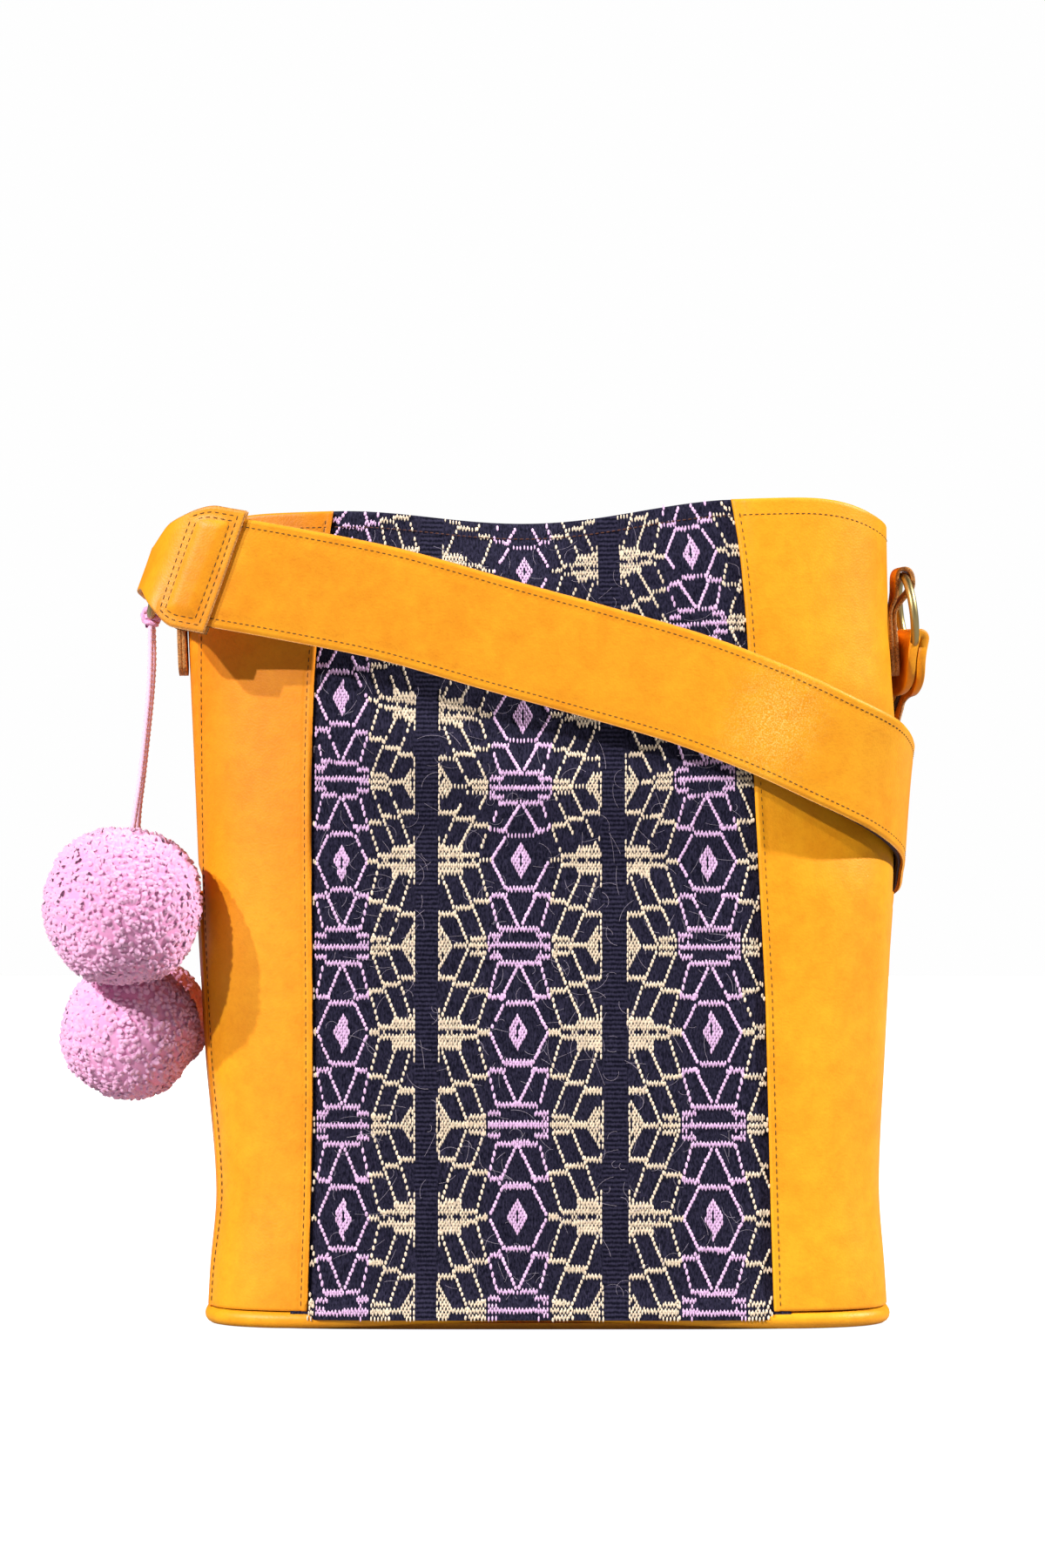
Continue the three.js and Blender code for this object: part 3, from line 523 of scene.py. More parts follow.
def rim_height(distance):
    """Height of the mouth: higher on the right, sagging in the middle, falling at the sides."""
    level = np.full_like(distance, DENT_TOP)
    x = look_up(skin_x, distance, level)
    sag = np.where(look_up(skin_y, distance, level) < 0, RIM_SAG_FRONT, RIM_SAG_BACK)
    side = np.clip((np.abs(x - MOUTH_MIDDLE) / MOUTH_HALF - SIDE_START) / SIDE_SPAN, 0, 1) ** 3
    return RIM_HEIGHT + RIM_SLOPE * x - sag * hump(x - CLOTH_MIDDLE, RIM_SAG_HALF) - SIDE_FALL * side


def edged_shares(length, step, edge):
    """Shares of a length from 0 to 1 in even steps, with close steps along an edge at both ends."""
    near = np.array([0.0, 0.1, 0.3, 0.62, 1.0]) * edge / length
    count = max(int(length / step), 2)
    middle = np.linspace(near[-1], 1 - near[-1], count + 1)[1:-1]
    return np.concatenate([near, middle, 1 - near[::-1]])


def wall_grid(left, right, across, up, top, foot=WALL_FOOT):
    """Distances and heights of a wall's grid between two edges given as functions of height, from the
    foot up to the top, a function of distance. across and up are (length, step, edge) of its shares."""
    across = edged_shares(*across)
    level = np.full(len(across), DENT_TOP)
    at_top = left(level) + (right(level) - left(level)) * across
    height = foot + (top(at_top)[None, :] - foot) * edged_shares(*up)[:, None]
    distance = left(height) + (right(height) - left(height)) * across[None, :]
    return distance, height


def rounded(distance, radius):
    """How far a round edge falls below its face, at a distance in from the edge."""
    inside = np.clip(1 - distance / radius, 0, 1)
    return radius * (1 - np.sqrt(1 - inside ** 2))


def groove(distance, at):
    """The dip that a pulled stitch row leaves, at a distance from the row."""
    return GROOVE_DEPTH * np.exp(-((distance - at) / GROOVE_WIDTH) ** 2)


def sheet_piece(name, outer, inner, slot, material, **values):
    """A closed sheet from an outer and an inner grid of points, joined round their edges. values are
    named numbers for the points of each grid."""
    rows, columns = outer.shape[:2]
    count = rows * columns
    front = grid_quads(rows, columns)
    index = np.arange(count).reshape(rows, columns)
    edge = np.concatenate([index[0, :], index[1:, -1], index[-1, -2::-1], index[-2:0:-1, 0]])
    after = np.roll(edge, -1)
    sides = np.stack([after, edge, edge + count, after + count], axis=-1)
    points = np.concatenate([outer.reshape(-1, 3), inner.reshape(-1, 3)])
    faces = np.concatenate([front, front[:, ::-1] + count, sides])
    values = {key: np.broadcast_to(numbers, (rows, columns)).ravel() for key, numbers in values.items()}
    values = {key: np.concatenate([numbers, numbers]) for key, numbers in values.items()}
    return add_piece(name, points, faces, slot, material, values=values)


def new_node(tree, kind, **inputs):
    """A new shader node with its inputs set by name."""
    return set_inputs(tree, tree.nodes.new(kind), **inputs)


def colour_ramp(tree, source, low_at, low, high_at, high):
    """Colours between two, at and between two levels of a source."""
    node = new_node(tree, "ShaderNodeValToRGB", Fac=source)
    for element, at, colour in zip(node.color_ramp.elements, (low_at, high_at), (low, high)):
        element.position = at
        element.color = (*colour, 1)
    return node.outputs["Color"]


def mixed_colours(tree, factor, under, over, kind="MIX"):
    """A colour laid over another by a factor."""
    node = tree.nodes.new("ShaderNodeMix")
    node.data_type = "RGBA"
    node.blend_type = kind
    for index, value in ((0, factor), (6, under), (7, over)):
        set_input(tree, node.inputs[index], value)
    return node.outputs[2]


def leather_group():
    """Tanned cowhide: broad and small mottling between two ambers, small dark flecks, fine grain
    for a bump, a deeper amber where the tone value is 1, pale glints painted as a highlight by the
    third value, and fibrous brown where the raw value is 1."""
    tree = bpy.data.node_groups.new("leather_look", "ShaderNodeTree")
    for name in ("Raw", "Tone", "Rubbed"):
        tree.interface.new_socket(name, in_out="INPUT", socket_type="NodeSocketFloat")
    tree.interface.new_socket("Color", in_out="OUTPUT", socket_type="NodeSocketColor")
    tree.interface.new_socket("Height", in_out="OUTPUT", socket_type="NodeSocketFloat")
    entry = tree.nodes.new("NodeGroupInput").outputs
    place = tree.nodes.new("ShaderNodeTexCoord").outputs["Object"]
    noises = ((16.0, 4.0, 0.6), (120.0, 5.0, 0.65), (700.0, 2.0, 0.5), (1800.0, 3.0, 0.5))
    broad, small, fleck, fibre = (
        new_node(
            tree, "ShaderNodeTexNoise", Vector=place, Scale=scale, Detail=detail, Roughness=roughness,
        ).outputs["Fac"]
        for scale, detail, roughness in noises
    )
    grain = new_node(tree, "ShaderNodeTexVoronoi", Vector=place, Scale=1150.0).outputs["Distance"]
    mottled = new_node(tree, "ShaderNodeMix", Factor=0.45, A=broad, B=small).outputs["Result"]
    amber = colour_ramp(tree, mottled, 0.3, (0.78, 0.262, 0.005), 0.62, (0.92, 0.395, 0.012))
    specks = colour_ramp(tree, fleck, 0.3, (0.95, 0.93, 0.9), 0.52, (1, 1, 1))
    flecked = mixed_colours(tree, 1.0, amber, specks, "MULTIPLY")
    deeper_amber = mixed_colours(tree, entry["Tone"], flecked, (0.92, 0.71, 0.66, 1), "MULTIPLY")
    # Painted highlight: pale glints, scaled by the third value.
    painted_glint_mask = new_node(
        tree, "ShaderNodeMapRange", Value=fibre, From_Min=0.45, From_Max=0.68, To_Max=entry["Rubbed"],
    )
    rubbed = mixed_colours(tree, painted_glint_mask.outputs["Result"], deeper_amber, (0.92, 0.72, 0.2, 1))
    fibrous = colour_ramp(tree, fibre, 0.35, (0.2, 0.075, 0.025), 0.68, (0.68, 0.32, 0.09))
    cut = mixed_colours(tree, entry["Raw"], rubbed, fibrous)
    relief = tree.nodes.new("ShaderNodeMath")
    set_input(tree, relief.inputs[0], grain)
    set_input(tree, relief.inputs[1], small)
    new_node(tree, "NodeGroupOutput", Color=cut, Height=relief.outputs["Value"])
    return tree


amber_leather = new_material("amber_leather", Roughness=0.46, Specular_IOR_Level=0.28)
leather_tree = amber_leather.node_tree
leather_look = leather_tree.nodes.new("ShaderNodeGroup")
leather_look.node_tree = leather_group()
set_inputs(
    leather_tree, leather_look, Raw=point_value(leather_tree, "raw"),
    Tone=point_value(leather_tree, "tone"), Rubbed=point_value(leather_tree, "rubbed"),
)
leather_bump = new_node(
    leather_tree, "ShaderNodeBump", Strength=0.12, Distance=0.0005, Height=leather_look.outputs["Height"],
)
dress(amber_leather, Base_Color=leather_look.outputs["Color"], Normal=leather_bump.outputs["Normal"])


def front_leather(name, left, right, at_left):
    """One leather piece of the front: flat, a ridge and a stitch groove beside the cloth, a groove along
    the side seam and below the mouth, and round edges. The left one is painted darker upwards as shade."""
    distance, height = wall_grid(left, right, FRONT_ACROSS, FRONT_UP, rim_height)
    from_left = distance - left(height)
    from_right = right(height) - distance
    at_seam, beside_cloth = (from_left, from_right) if at_left else (from_right, from_left)
    below_rim = rim_height(distance) - height
    edge = np.minimum(np.minimum(from_left, from_right), np.minimum(below_rim, height - WALL_FOOT))
    fold = RIDGE_HEIGHT * hump(beside_cloth - RIDGE_WIDTH / 2, RIDGE_WIDTH / 2 + RIDGE_FOOT)
    rows = ((beside_cloth, RIDGE_WIDTH), (at_seam, SEAM_STITCH), (below_rim, HEM_STITCH))
    pulled = sum(groove(inside, row) for inside, row in rows)
    drop = rounded(np.maximum(edge, 0), EDGE_ROUND)
    # Painted shade on the left piece, deeper upwards.
    left_painted_shade = LEFT_SHADE_LOW + LEFT_SHADE_RISE * ease(*LEFT_SHADE_HEIGHTS, height)
    sheet_piece(
        name, skin_point(distance, height, fold - pulled - drop),
        skin_point(distance, height, drop - LEATHER), "amber_leather", amber_leather,
        raw=np.clip(1 - at_seam / RAW_SEAM, 0, 1), tone=left_painted_shade if at_left else 0.0,
    )


front_leather("leather_front_left", seam_left, cloth_left, True)
front_leather("leather_front_right", cloth_right, seam_right, False)

# Woven panel: handwoven wool cloth, navy with lilac and cream figures. Every thread that shows is
# a short upright float; neighbouring columns of floats lie half a step apart.
CLOTH = 1.6
LAP = 7.0
CLOTH_FACE = -0.9
CLOTH_INSIDE = -2.1
CLOTH_FOOT = 4.2
CLOTH_FLARE = 2.2
CLOTH_HEM = 1.5
CLOTH_HEM_EDGE = (10.0, 6.0)
CLOTH_ROUND = 1.4
LAP_EDGE = (0.5, 5.0)
FLARE_EDGE = (5.0, 18.0)
CLOTH_ACROSS = (203.0, 1.5, 12.0)
CLOTH_UP = (320.0, 3.0, 2.0)
COLUMN_PITCH = 0.71
OUTER_COLUMN = 97.0
FLOAT_PITCH = 2.45
FLOAT_LENGTH = 2.4
FLOAT_WIDTH = 0.66
FLOAT_HEIGHT = 0.5
FLOAT_RIM_GAP = 0.6
FLOAT_EDGE_GAP = 0.3
FLOAT_SHIFT = 0.05
FLOAT_SLIP = 0.12
FLOAT_TONES = (0.85, 1.1)
FIRST_FLOAT = 0.8
EDGE_SUNK = 0.5
EDGE_BAND = 4.0
BAR_PULL = 0.4
BAR_LENGTH = 0.92
LILAC = (0.88, 0.57, 0.86)
CREAM = (0.93, 0.75, 0.56)
COLOUR_NUMBERS = {"lilac": 1, "cream": 2}
CHART_UNIT = 0.0929
HALF_REPEAT = 422.0
REPEAT_DOWN = 740.0
STRIPE_EDGE = (366.0, 372.0)
FIGURE_ROWS_SIDE = [-30.0, 44.5, 119.0, 187.0, 253.7, 311.7, 372.0]
FIGURE_ROWS_MIDDLE = [-29.0, 45.4, 119.0, 187.7, 245.0, 303.6, 363.0]
FIGURES_MIDDLE = -6.2
FIGURES_HALF = 90.0
STOPS_LOW = [-111.0, -77.4, -44.2, -7.6, 31.6, 71.0, 110.0]
STOPS_HIGH = [-112.5, -78.6, -44.2, -4.6, 29.8, 65.8, 100.6]
CHART_STOPS = [-1267.0, -845.0, -422.0, 0.0, 422.0, 845.0, 1267.0]
STOPS_LOW_HEIGHT = 90.0
STOPS_RISE = 220.0

# Chart of the figures, in units of the cloth's drawing, from the middle of a lilac diamond:
# bars are (colour, from, to, at), slants (colour, x, y, x, y, float length, float width), solids
# (colour, float size, corner list), combs (colour, x, from, to), and gaps in a solid (x, from, to).
# Both directions are mirrored.
CHART_BARS = [
    ("lilac", 0, 60, 124), ("lilac", 58, 136, 153), ("lilac", 0, 90, 295), ("lilac", 74, 136, 322),
    ("lilac", 0, 136, 370),
    ("cream", 132, 189, 0), ("cream", 186, 366, 22),
    ("cream", 138, 210, 176), ("cream", 206, 292, 206), ("cream", 288, 366, 234),
    ("cream", 146, 224, 341), ("cream", 144, 296, 370),
]
CHART_SLANTS = [
    ("lilac", 64, 124, 130, 0, 0.82, 1.7), ("lilac", 82, 136, 6, 284, 0.84, 1.7),
    ("lilac", 136, 150, 94, 295, 1.15, 1.5),
    ("cream", 190, 16, 138, 176, 0.94, 1.45), ("cream", 276, 56, 206, 206, 0.85, 1.45),
    ("cream", 210, 200, 148, 348, 0.86, 1.45), ("cream", 352, 56, 290, 222, 0.88, 1.45),
    ("cream", 296, 210, 226, 368, 0.86, 1.45),
]
CHART_SOLIDS = [
    ("lilac", 1.12, [(0, -84), (44, 0), (0, 84), (-44, 0)]),
    ("cream", 1.15, [(256, 34), (366, 34), (366, 64), (256, 64)]),
    ("cream", 1.02, [(294, 370), (368, 262), (368, 478)]),
]
CHART_COMBS = [("cream", x, 0, 12) for x in range(212, 345, 22)]
CHART_COMBS += [("cream", x, 350, 362) for x in range(164, 209, 22)]
CHART_COMBS += [("lilac", x, 330, 370) for x in (96, 116, 134)]
CHART_COMBS += [("cream", 362, 0, 112), ("cream", 362, 230, 270)]
CHART_GAPS = [(357, 294, 314), (357, 344, 364), (347, 320, 340)]


def inside_solid(x, y, corners):
    """True where a point lies inside a polygon with its corners in order."""
    ends = zip(corners, corners[1:] + corners[:1])
    turns = np.stack([(b[0] - a[0]) * (y - a[1]) - (b[1] - a[1]) * (x - a[0]) for a, b in ends])
    return np.all(turns >= 0, axis=0) | np.all(turns <= 0, axis=0)


def figure_colour(x, y):
    """Which colour lies on top at a place of the chart: 0 navy, 1 lilac, 2 cream. Also how far a float
    moves up to lie in its bar or slant, and its length and width against a plain float."""
    x = np.abs(x)
    upper = np.where(y < 0, -1.0, 1.0)
    y = np.abs(y)
    colour = np.zeros(x.shape, int)
    moved = np.zeros(x.shape)
    sized = np.ones((*x.shape, 2))
    half_row = FLOAT_PITCH / CHART_UNIT / 2
    half_column = COLUMN_PITCH / CHART_UNIT / 2
    for name, start, end, at in CHART_BARS:
        hit = (x >= start) & (x <= end) & (y - at >= -half_row) & (y - at < half_row)
        colour[hit] = COLOUR_NUMBERS[name]
        moved[hit] = (upper * (at - y))[hit]
        sized[hit] = (BAR_LENGTH, 1.0)
    for name, x0, y0, x1, y1, stretch, breadth in CHART_SLANTS:
        crossing = y0 + (x - x0) * (y1 - y0) / (x1 - x0)
        inside = (x >= min(x0, x1)) & (x <= max(x0, x1))
        hit = inside & (y - crossing >= -half_row) & (y - crossing < half_row)
        colour[hit] = COLOUR_NUMBERS[name]
        moved[hit] = (upper * (crossing - y))[hit] / BAR_PULL
        sized[hit] = (stretch, breadth)
    for name, size, corners in CHART_SOLIDS:
        hit = inside_solid(x, y, corners)
        colour[hit] = COLOUR_NUMBERS[name]
        moved[hit] = 0
        sized[hit] = size
    for name, at, start, end in CHART_COMBS:
        colour[(np.abs(x - at) <= half_column) & (y >= start) & (y <= end)] = COLOUR_NUMBERS[name]
    for at, start, end in CHART_GAPS:
        colour[(np.abs(x - at) <= half_column) & (y >= start) & (y <= end)] = 0
    colour[(x < half_column) & (y < 2 * half_row)] = 0
    return colour, moved, sized


def chart_place(distance, height):
    """Place on the chart of a point of the cloth: x in the nearest column of figures, y from the
    nearest diamond."""
    risen = np.clip((height - STOPS_LOW_HEIGHT) / STOPS_RISE, 0, 1)
    low = np.interp(distance, STOPS_LOW, CHART_STOPS)
    x = low + risen * (np.interp(distance, STOPS_HIGH, CHART_STOPS) - low)
    rows = np.arange(len(FIGURE_ROWS_SIDE), dtype=float)
    at_side = np.interp(height, FIGURE_ROWS_SIDE, rows)
    at_middle = np.interp(height, FIGURE_ROWS_MIDDLE, rows)
    row = at_side + (at_middle - at_side) * hump(distance - FIGURES_MIDDLE, FIGURES_HALF)
    return x - 2 * HALF_REPEAT * np.round(x / (2 * HALF_REPEAT)), (row - np.round(row)) * REPEAT_DOWN


def inside_cloth(distance, height):
    """How far a place lies in from the nearer visible edge of the cloth."""
    return np.minimum(distance - cloth_left(height), cloth_right(height) - distance)


def cloth_flare(height):
    """How far the cloth's foot stands out over the base piping."""
    return CLOTH_FLARE * (1 - ease(*FLARE_EDGE, height))


def floats(centres, along, out, length, width, height):
    """Short rounded threads: each is a pointed oval, longest along its own direction and raised in
    the middle, with two tips and two cross rows of three points."""
    shape = np.array([
        (-0.5, 0, 0), (-0.24, -0.5, 0.1), (-0.24, 0, 1), (-0.24, 0.5, 0.1),
        (0.24, -0.5, 0.1), (0.24, 0, 1), (0.24, 0.5, 0.1), (0.5, 0, 0),
    ])
    triangles = np.array([
        (0, 2, 1), (0, 3, 2), (1, 2, 5), (1, 5, 4), (2, 3, 6), (2, 6, 5), (7, 4, 5), (7, 5, 6),
    ])
    points = centres[:, None]
    for k, (way, size) in enumerate(((along, length), (np.cross(along, out), width), (out, height))):
        reach = np.multiply.outer(np.broadcast_to(size, len(centres)), shape[:, k])
        points = points + way[:, None] * reach[..., None]
    faces = triangles[None] + len(shape) * np.arange(len(centres))[:, None, None]
    return points.reshape(-1, 3), faces.reshape(-1, 3)


float_columns = np.arange(-OUTER_COLUMN, OUTER_COLUMN, COLUMN_PITCH)
float_rows = np.arange(CLOTH_FOOT + FIRST_FLOAT, TABLE_TOP, FLOAT_PITCH)
float_distance, float_height = np.meshgrid(float_columns, float_rows)
float_height = float_height + FLOAT_PITCH / 2 * (np.arange(len(float_columns)) % 2)[None, :]
float_distance = float_distance.ravel()
float_height = float_height.ravel()
colour_number, moved, sized = figure_colour(*chart_place(float_distance, float_height))
kept = (float_height < rim_height(float_distance) - FLOAT_RIM_GAP) & (colour_number > 0)
kept = kept & (inside_cloth(float_distance, float_height) > FLOAT_EDGE_GAP)
float_distance = float_distance[kept] + rng.normal(0, FLOAT_SHIFT, kept.sum())
float_height = float_height[kept] + rng.normal(0, FLOAT_SLIP, kept.sum())
float_height = float_height + BAR_PULL * CHART_UNIT * moved[kept]
float_sunk = EDGE_SUNK * (inside_cloth(float_distance, float_height) < EDGE_BAND)
float_face = CLOTH_FACE - float_sunk + cloth_flare(float_height)
float_spots = skin_point(float_distance, float_height, float_face)
float_points, float_faces = floats(
    float_spots, unit(skin_point(float_distance, float_height + 1, float_face) - float_spots),
    skin_normal(float_distance, float_height),
    sized[kept, 0] * FLOAT_LENGTH, sized[kept, 1] * FLOAT_WIDTH, FLOAT_HEIGHT,
)
float_tints = np.array([LILAC, CREAM])[colour_number[kept] - 1]
float_tints = float_tints * rng.uniform(*FLOAT_TONES, (kept.sum(), 1))
woven_yarn = yarn_material("woven_yarn", 0.1)
woven_floats = add_piece(
    "woven_floats", float_points, float_faces, "woven_cloth", woven_yarn, False,
    tints=np.repeat(float_tints, len(float_points) // len(float_tints), axis=0),
)


def ground_material(name):
    """The cloth's ground: close upright threads of navy, flecked lighter, and fine level ribs in the
    plain stripes, where the piece's stripe value is 1."""
    material = new_material(name, Roughness=0.95, Specular_IOR_Level=0.1)
    tree = material.node_tree
    place = tree.nodes.new("ShaderNodeTexCoord").outputs["Object"]
    upright = new_node(tree, "ShaderNodeMapping", Vector=place, Scale=(1500.0, 600.0, 620.0))
    threads = new_node(
        tree, "ShaderNodeTexNoise", Vector=upright.outputs["Vector"], Scale=1.0, Detail=2.0, Roughness=0.6,
    ).outputs["Fac"]
    ribs = new_node(
        tree, "ShaderNodeTexWave", Vector=place, Scale=170.0, Distortion=1.5, Detail=1.0, Detail_Scale=4.0,
    )
    ribs.bands_direction = "Z"
    ribbed = new_node(tree, "ShaderNodeMix", Factor=0.35, A=threads, B=ribs.outputs["Fac"])
    relief = new_node(
        tree, "ShaderNodeMix", Factor=point_value(tree, "stripe"), A=threads, B=ribbed.outputs["Result"],
    ).outputs["Result"]
    bump = new_node(tree, "ShaderNodeBump", Strength=0.5, Distance=0.0006, Height=relief)
    navy = colour_ramp(tree, relief, 0.34, (0.003, 0.003, 0.010), 0.72, (0.034, 0.030, 0.060))
    dress(material, Base_Color=navy, Normal=bump.outputs["Normal"])
    return material


cloth_distance, cloth_height = wall_grid(
    lambda z: cloth_left(z) - LAP, lambda z: cloth_right(z) + LAP, CLOTH_ACROSS, CLOTH_UP, rim_height,
    CLOTH_FOOT,
)
cloth_open = ease(*LAP_EDGE, inside_cloth(cloth_distance, cloth_height))
cloth_below = rim_height(cloth_distance) - cloth_height
cloth_drop = rounded(np.maximum(cloth_below, 0), CLOTH_ROUND)
cloth_face = UNDER_LAP + (CLOTH_FACE - UNDER_LAP) * cloth_open - cloth_drop
cloth_inside = CLOTH_INSIDE - CLOTH - CLOTH_HEM * ease(*CLOTH_HEM_EDGE, cloth_below)
cloth_chart_x = chart_place(cloth_distance, cloth_height)[0]
woven_panel = sheet_piece(
    "woven_panel", skin_point(cloth_distance, cloth_height, cloth_face + cloth_flare(cloth_height)),
    skin_point(cloth_distance, cloth_height, cloth_inside + cloth_flare(cloth_height)),
    "woven_cloth", ground_material("cloth_ground"), stripe=ease(*STRIPE_EDGE, np.abs(cloth_chart_x)),
)

# Hairs: loose wool that stands out of the cloth, in fine bent strands of a pale lilac.
HAIRS = 520
HAIR_STEPS = 8
HAIR_SIDES = 3
HAIR_RADIUS = 0.042
HAIR_LIFT = 0.55
HAIR_ARCH = 0.5
HAIR_BEND = 1.6
HAIR_HEIGHTS = (12.0, 318.0)
HAIR_DISTANCES = (-84.0, 82.0)
HAIR_LENGTHS = (4.0, 15.0)
HAIR_COLOUR = (0.56, 0.48, 0.58)


def loose_hairs():
    """Loose wool hairs on the cloth: thin tubes that start anywhere, wander in a bend, and lie just over
    the threads."""
    share = np.linspace(0.0, 1.0, HAIR_STEPS)[None, :]
    start_height = rng.uniform(*HAIR_HEIGHTS, (HAIRS, 1))
    start = rng.uniform(*HAIR_DISTANCES, (HAIRS, 1))
    heading = rng.uniform(0.0, 2 * np.pi, (HAIRS, 1)) + rng.normal(0, HAIR_BEND, (HAIRS, 1)) * share
    length = rng.uniform(*HAIR_LENGTHS, (HAIRS, 1))
    distance = start + np.cumsum(np.cos(heading), axis=1) * length / HAIR_STEPS
    height = start_height + np.cumsum(np.sin(heading), axis=1) * length / HAIR_STEPS
    distance = np.clip(distance, cloth_left(height) + 1, cloth_right(height) - 1)
    height = np.clip(height, 10, rim_height(distance) - 3)
    lift = CLOTH_FACE + HAIR_LIFT + HAIR_ARCH * np.sin(np.pi * share) * rng.uniform(0, 1, (HAIRS, 1))
    line = skin_point(distance, height, lift)
    way = unit(np.gradient(line, axis=1) + 1e-6)
    side = unit(np.cross(way, skin_normal(distance, height)))
    points = line[:, :, None] + HAIR_RADIUS * ring_spokes(side, np.cross(side, way), HAIR_SIDES)
    one = grid_quads(HAIR_STEPS, HAIR_SIDES, wrap=True)
    faces = one[None] + HAIR_STEPS * HAIR_SIDES * np.arange(HAIRS)[:, None, None]
    return points.reshape(-1, 3), faces.reshape(-1, 4)


hair_points, hair_faces = loose_hairs()
woven_hairs = add_piece(
    "woven_hairs", hair_points, hair_faces, "woven_cloth", woven_yarn, False,
    tints=np.broadcast_to(HAIR_COLOUR, hair_points.shape),
)

# Back wall and slip pocket: the same amber leather. The wall's edges lie under the front pieces,
# and the pocket covers its lower part, with a stitched hem at its top.
BACK_ACROSS = (330.0, 3.0, 6.0)
BACK_UP = (250.0, 3.0, 3.0)
BACK_GAP = 0.3
BACK_FACE = -0.3
BACK_LAP_EDGE = (0.5, 6.0)
BACK_TONE = 0.8
POCKET_TOP = 174.0
POCKET_RISE = (POCKET_TOP + 3, POCKET_TOP + 12)
POCKET_GAPE = 1.4
POCKET_HEM = 6.5


def back_left(height):
    """Distance of the left seam, counted to the right round the back."""
    return seam_left(height) + outline_length(height)


def back_sheet(name, left, right, top, face, hem_at):
    """A sheet of leather round the back with a stitch groove below its top and round edges."""
    distance, height = wall_grid(left, right, BACK_ACROSS, BACK_UP, top)
    below = top(distance) - height
    edge = np.minimum(np.minimum(distance - left(height), right(height) - distance), below)
    drop = rounded(np.maximum(edge, 0), EDGE_ROUND)
    lift = face(distance, height)
    sheet_piece(
        name, skin_point(distance, height, lift - groove(below, hem_at) - drop),
        skin_point(distance, height, lift + drop - LEATHER), "amber_leather", amber_leather, tone=BACK_TONE,
    )


def back_face(distance, height):
    """The back wall lies low under the front pieces' laps and under the pocket, and rises between."""
    past_lap = np.minimum(distance - seam_right(height), back_left(height) - distance)
    risen = ease(*BACK_LAP_EDGE, past_lap) * ease(*POCKET_RISE, height)
    return UNDER_LAP + (BACK_FACE - UNDER_LAP) * risen


back_sheet(
    "leather_back", lambda z: seam_right(z) - LAP, lambda z: back_left(z) + LAP, rim_height,
    back_face, HEM_STITCH,
)
back_sheet(
    "back_pocket", lambda z: seam_right(z) + BACK_GAP, lambda z: back_left(z) - BACK_GAP,
    lambda d: np.full_like(d, POCKET_TOP), lambda d, z: POCKET_GAPE * (z / POCKET_TOP) ** 4, POCKET_HEM,
)

# Base: a flat leather sole inside a round leather piping that carries the walls. The piping is
# tucked in below the cloth.
PIPING_RADIUS = 3.4
PIPING_MIDDLE = -2.6
PIPING_HEIGHT = 3.7
PIPING_STEPS = 240
PIPING_SIDES = 16
PIPING_TUCK = 3.0
TUCK_HALF = 112.0


def torus_quads(steps, sides):
    """Quads of a grid of points that closes both ways."""
    index = np.arange(steps * sides).reshape(steps, sides)
    over = np.roll(index, -1, 0)
    return np.stack([index, over, np.roll(over, -1, 1), np.roll(index, -1, 1)], axis=-1).reshape(-1, 4)


base_total = outline_total[0]
piping_run = np.linspace(0.0, base_total, PIPING_STEPS, endpoint=False)
piping_turn = 2 * np.pi * np.arange(PIPING_SIDES) / PIPING_SIDES
piping_run, piping_turn = np.meshgrid(piping_run, piping_turn, indexing="ij")
piping_run = np.where(piping_run > base_total / 2, piping_run - base_total, piping_run)
tuck = PIPING_TUCK * hump(piping_run, TUCK_HALF)
piping_out = PIPING_MIDDLE - tuck + PIPING_RADIUS * np.cos(piping_turn)
piping_points = skin_point(piping_run, 0 * piping_run, piping_out)
piping_points[..., 2] = PIPING_HEIGHT + tuck + PIPING_RADIUS * np.sin(piping_turn)
piping_quads = torus_quads(PIPING_STEPS, PIPING_SIDES)
add_piece(
    "base_piping", piping_points.reshape(-1, 3), piping_quads, "amber_leather", amber_leather,
)

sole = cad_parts["base_panel"]
sole.data.materials.clear()
sole.data.materials.append(amber_leather)

# Rings: plain round brass wire, welded, satin from wear. RING_LEFT and RING_RIGHT give the middle
# of a ring, how far its foot swings out, and its turn about the vertical, in degrees.
WIRE_RADIUS = 1.75
RING_RADIUS = 15.2
RING_STEPS = 96
WIRE_SIDES = 20
RING_LEFT = (-156.6, -8.0, 301.0, -15.0, 0.0)
RING_RIGHT = (147.6, 0.0, 287.6, 7.0, 7.0)
ring_brass = new_material("ring_brass", Base_Color=(0.46, 0.36, 0.16, 1), Metallic=1.0, Roughness=0.42)


def ring_piece(name, x, y, z, swing, turned):
    """A round wire bent to a circle in the bag's side plane, swung out at its foot and turned about
    the vertical, in degrees."""
    ring_turn = np.linspace(0.0, 2 * np.pi, RING_STEPS, endpoint=False)[:, None]
    wire_turn = np.linspace(0.0, 2 * np.pi, WIRE_SIDES, endpoint=False)[None, :]
    reach = RING_RADIUS + WIRE_RADIUS * np.cos(wire_turn)
    aside = WIRE_RADIUS * np.sin(wire_turn)
    across = reach * np.cos(ring_turn)
    rise = reach * np.sin(ring_turn)
    a = math.radians(-swing)
    b = math.radians(turned)
    out = aside * math.cos(a) + rise * math.sin(a)
    up = rise * math.cos(a) - aside * math.sin(a)
    points = np.stack([
        x + out * math.cos(b) - across * math.sin(b), y + out * math.sin(b) + across * math.cos(b), z + up,
    ], axis=-1)
    quads = torus_quads(RING_STEPS, WIRE_SIDES)
    add_piece(name, points.reshape(-1, 3), quads, "ring_brass", ring_brass)


ring_piece("ring_left", *RING_LEFT)
ring_piece("ring_right", *RING_RIGHT)

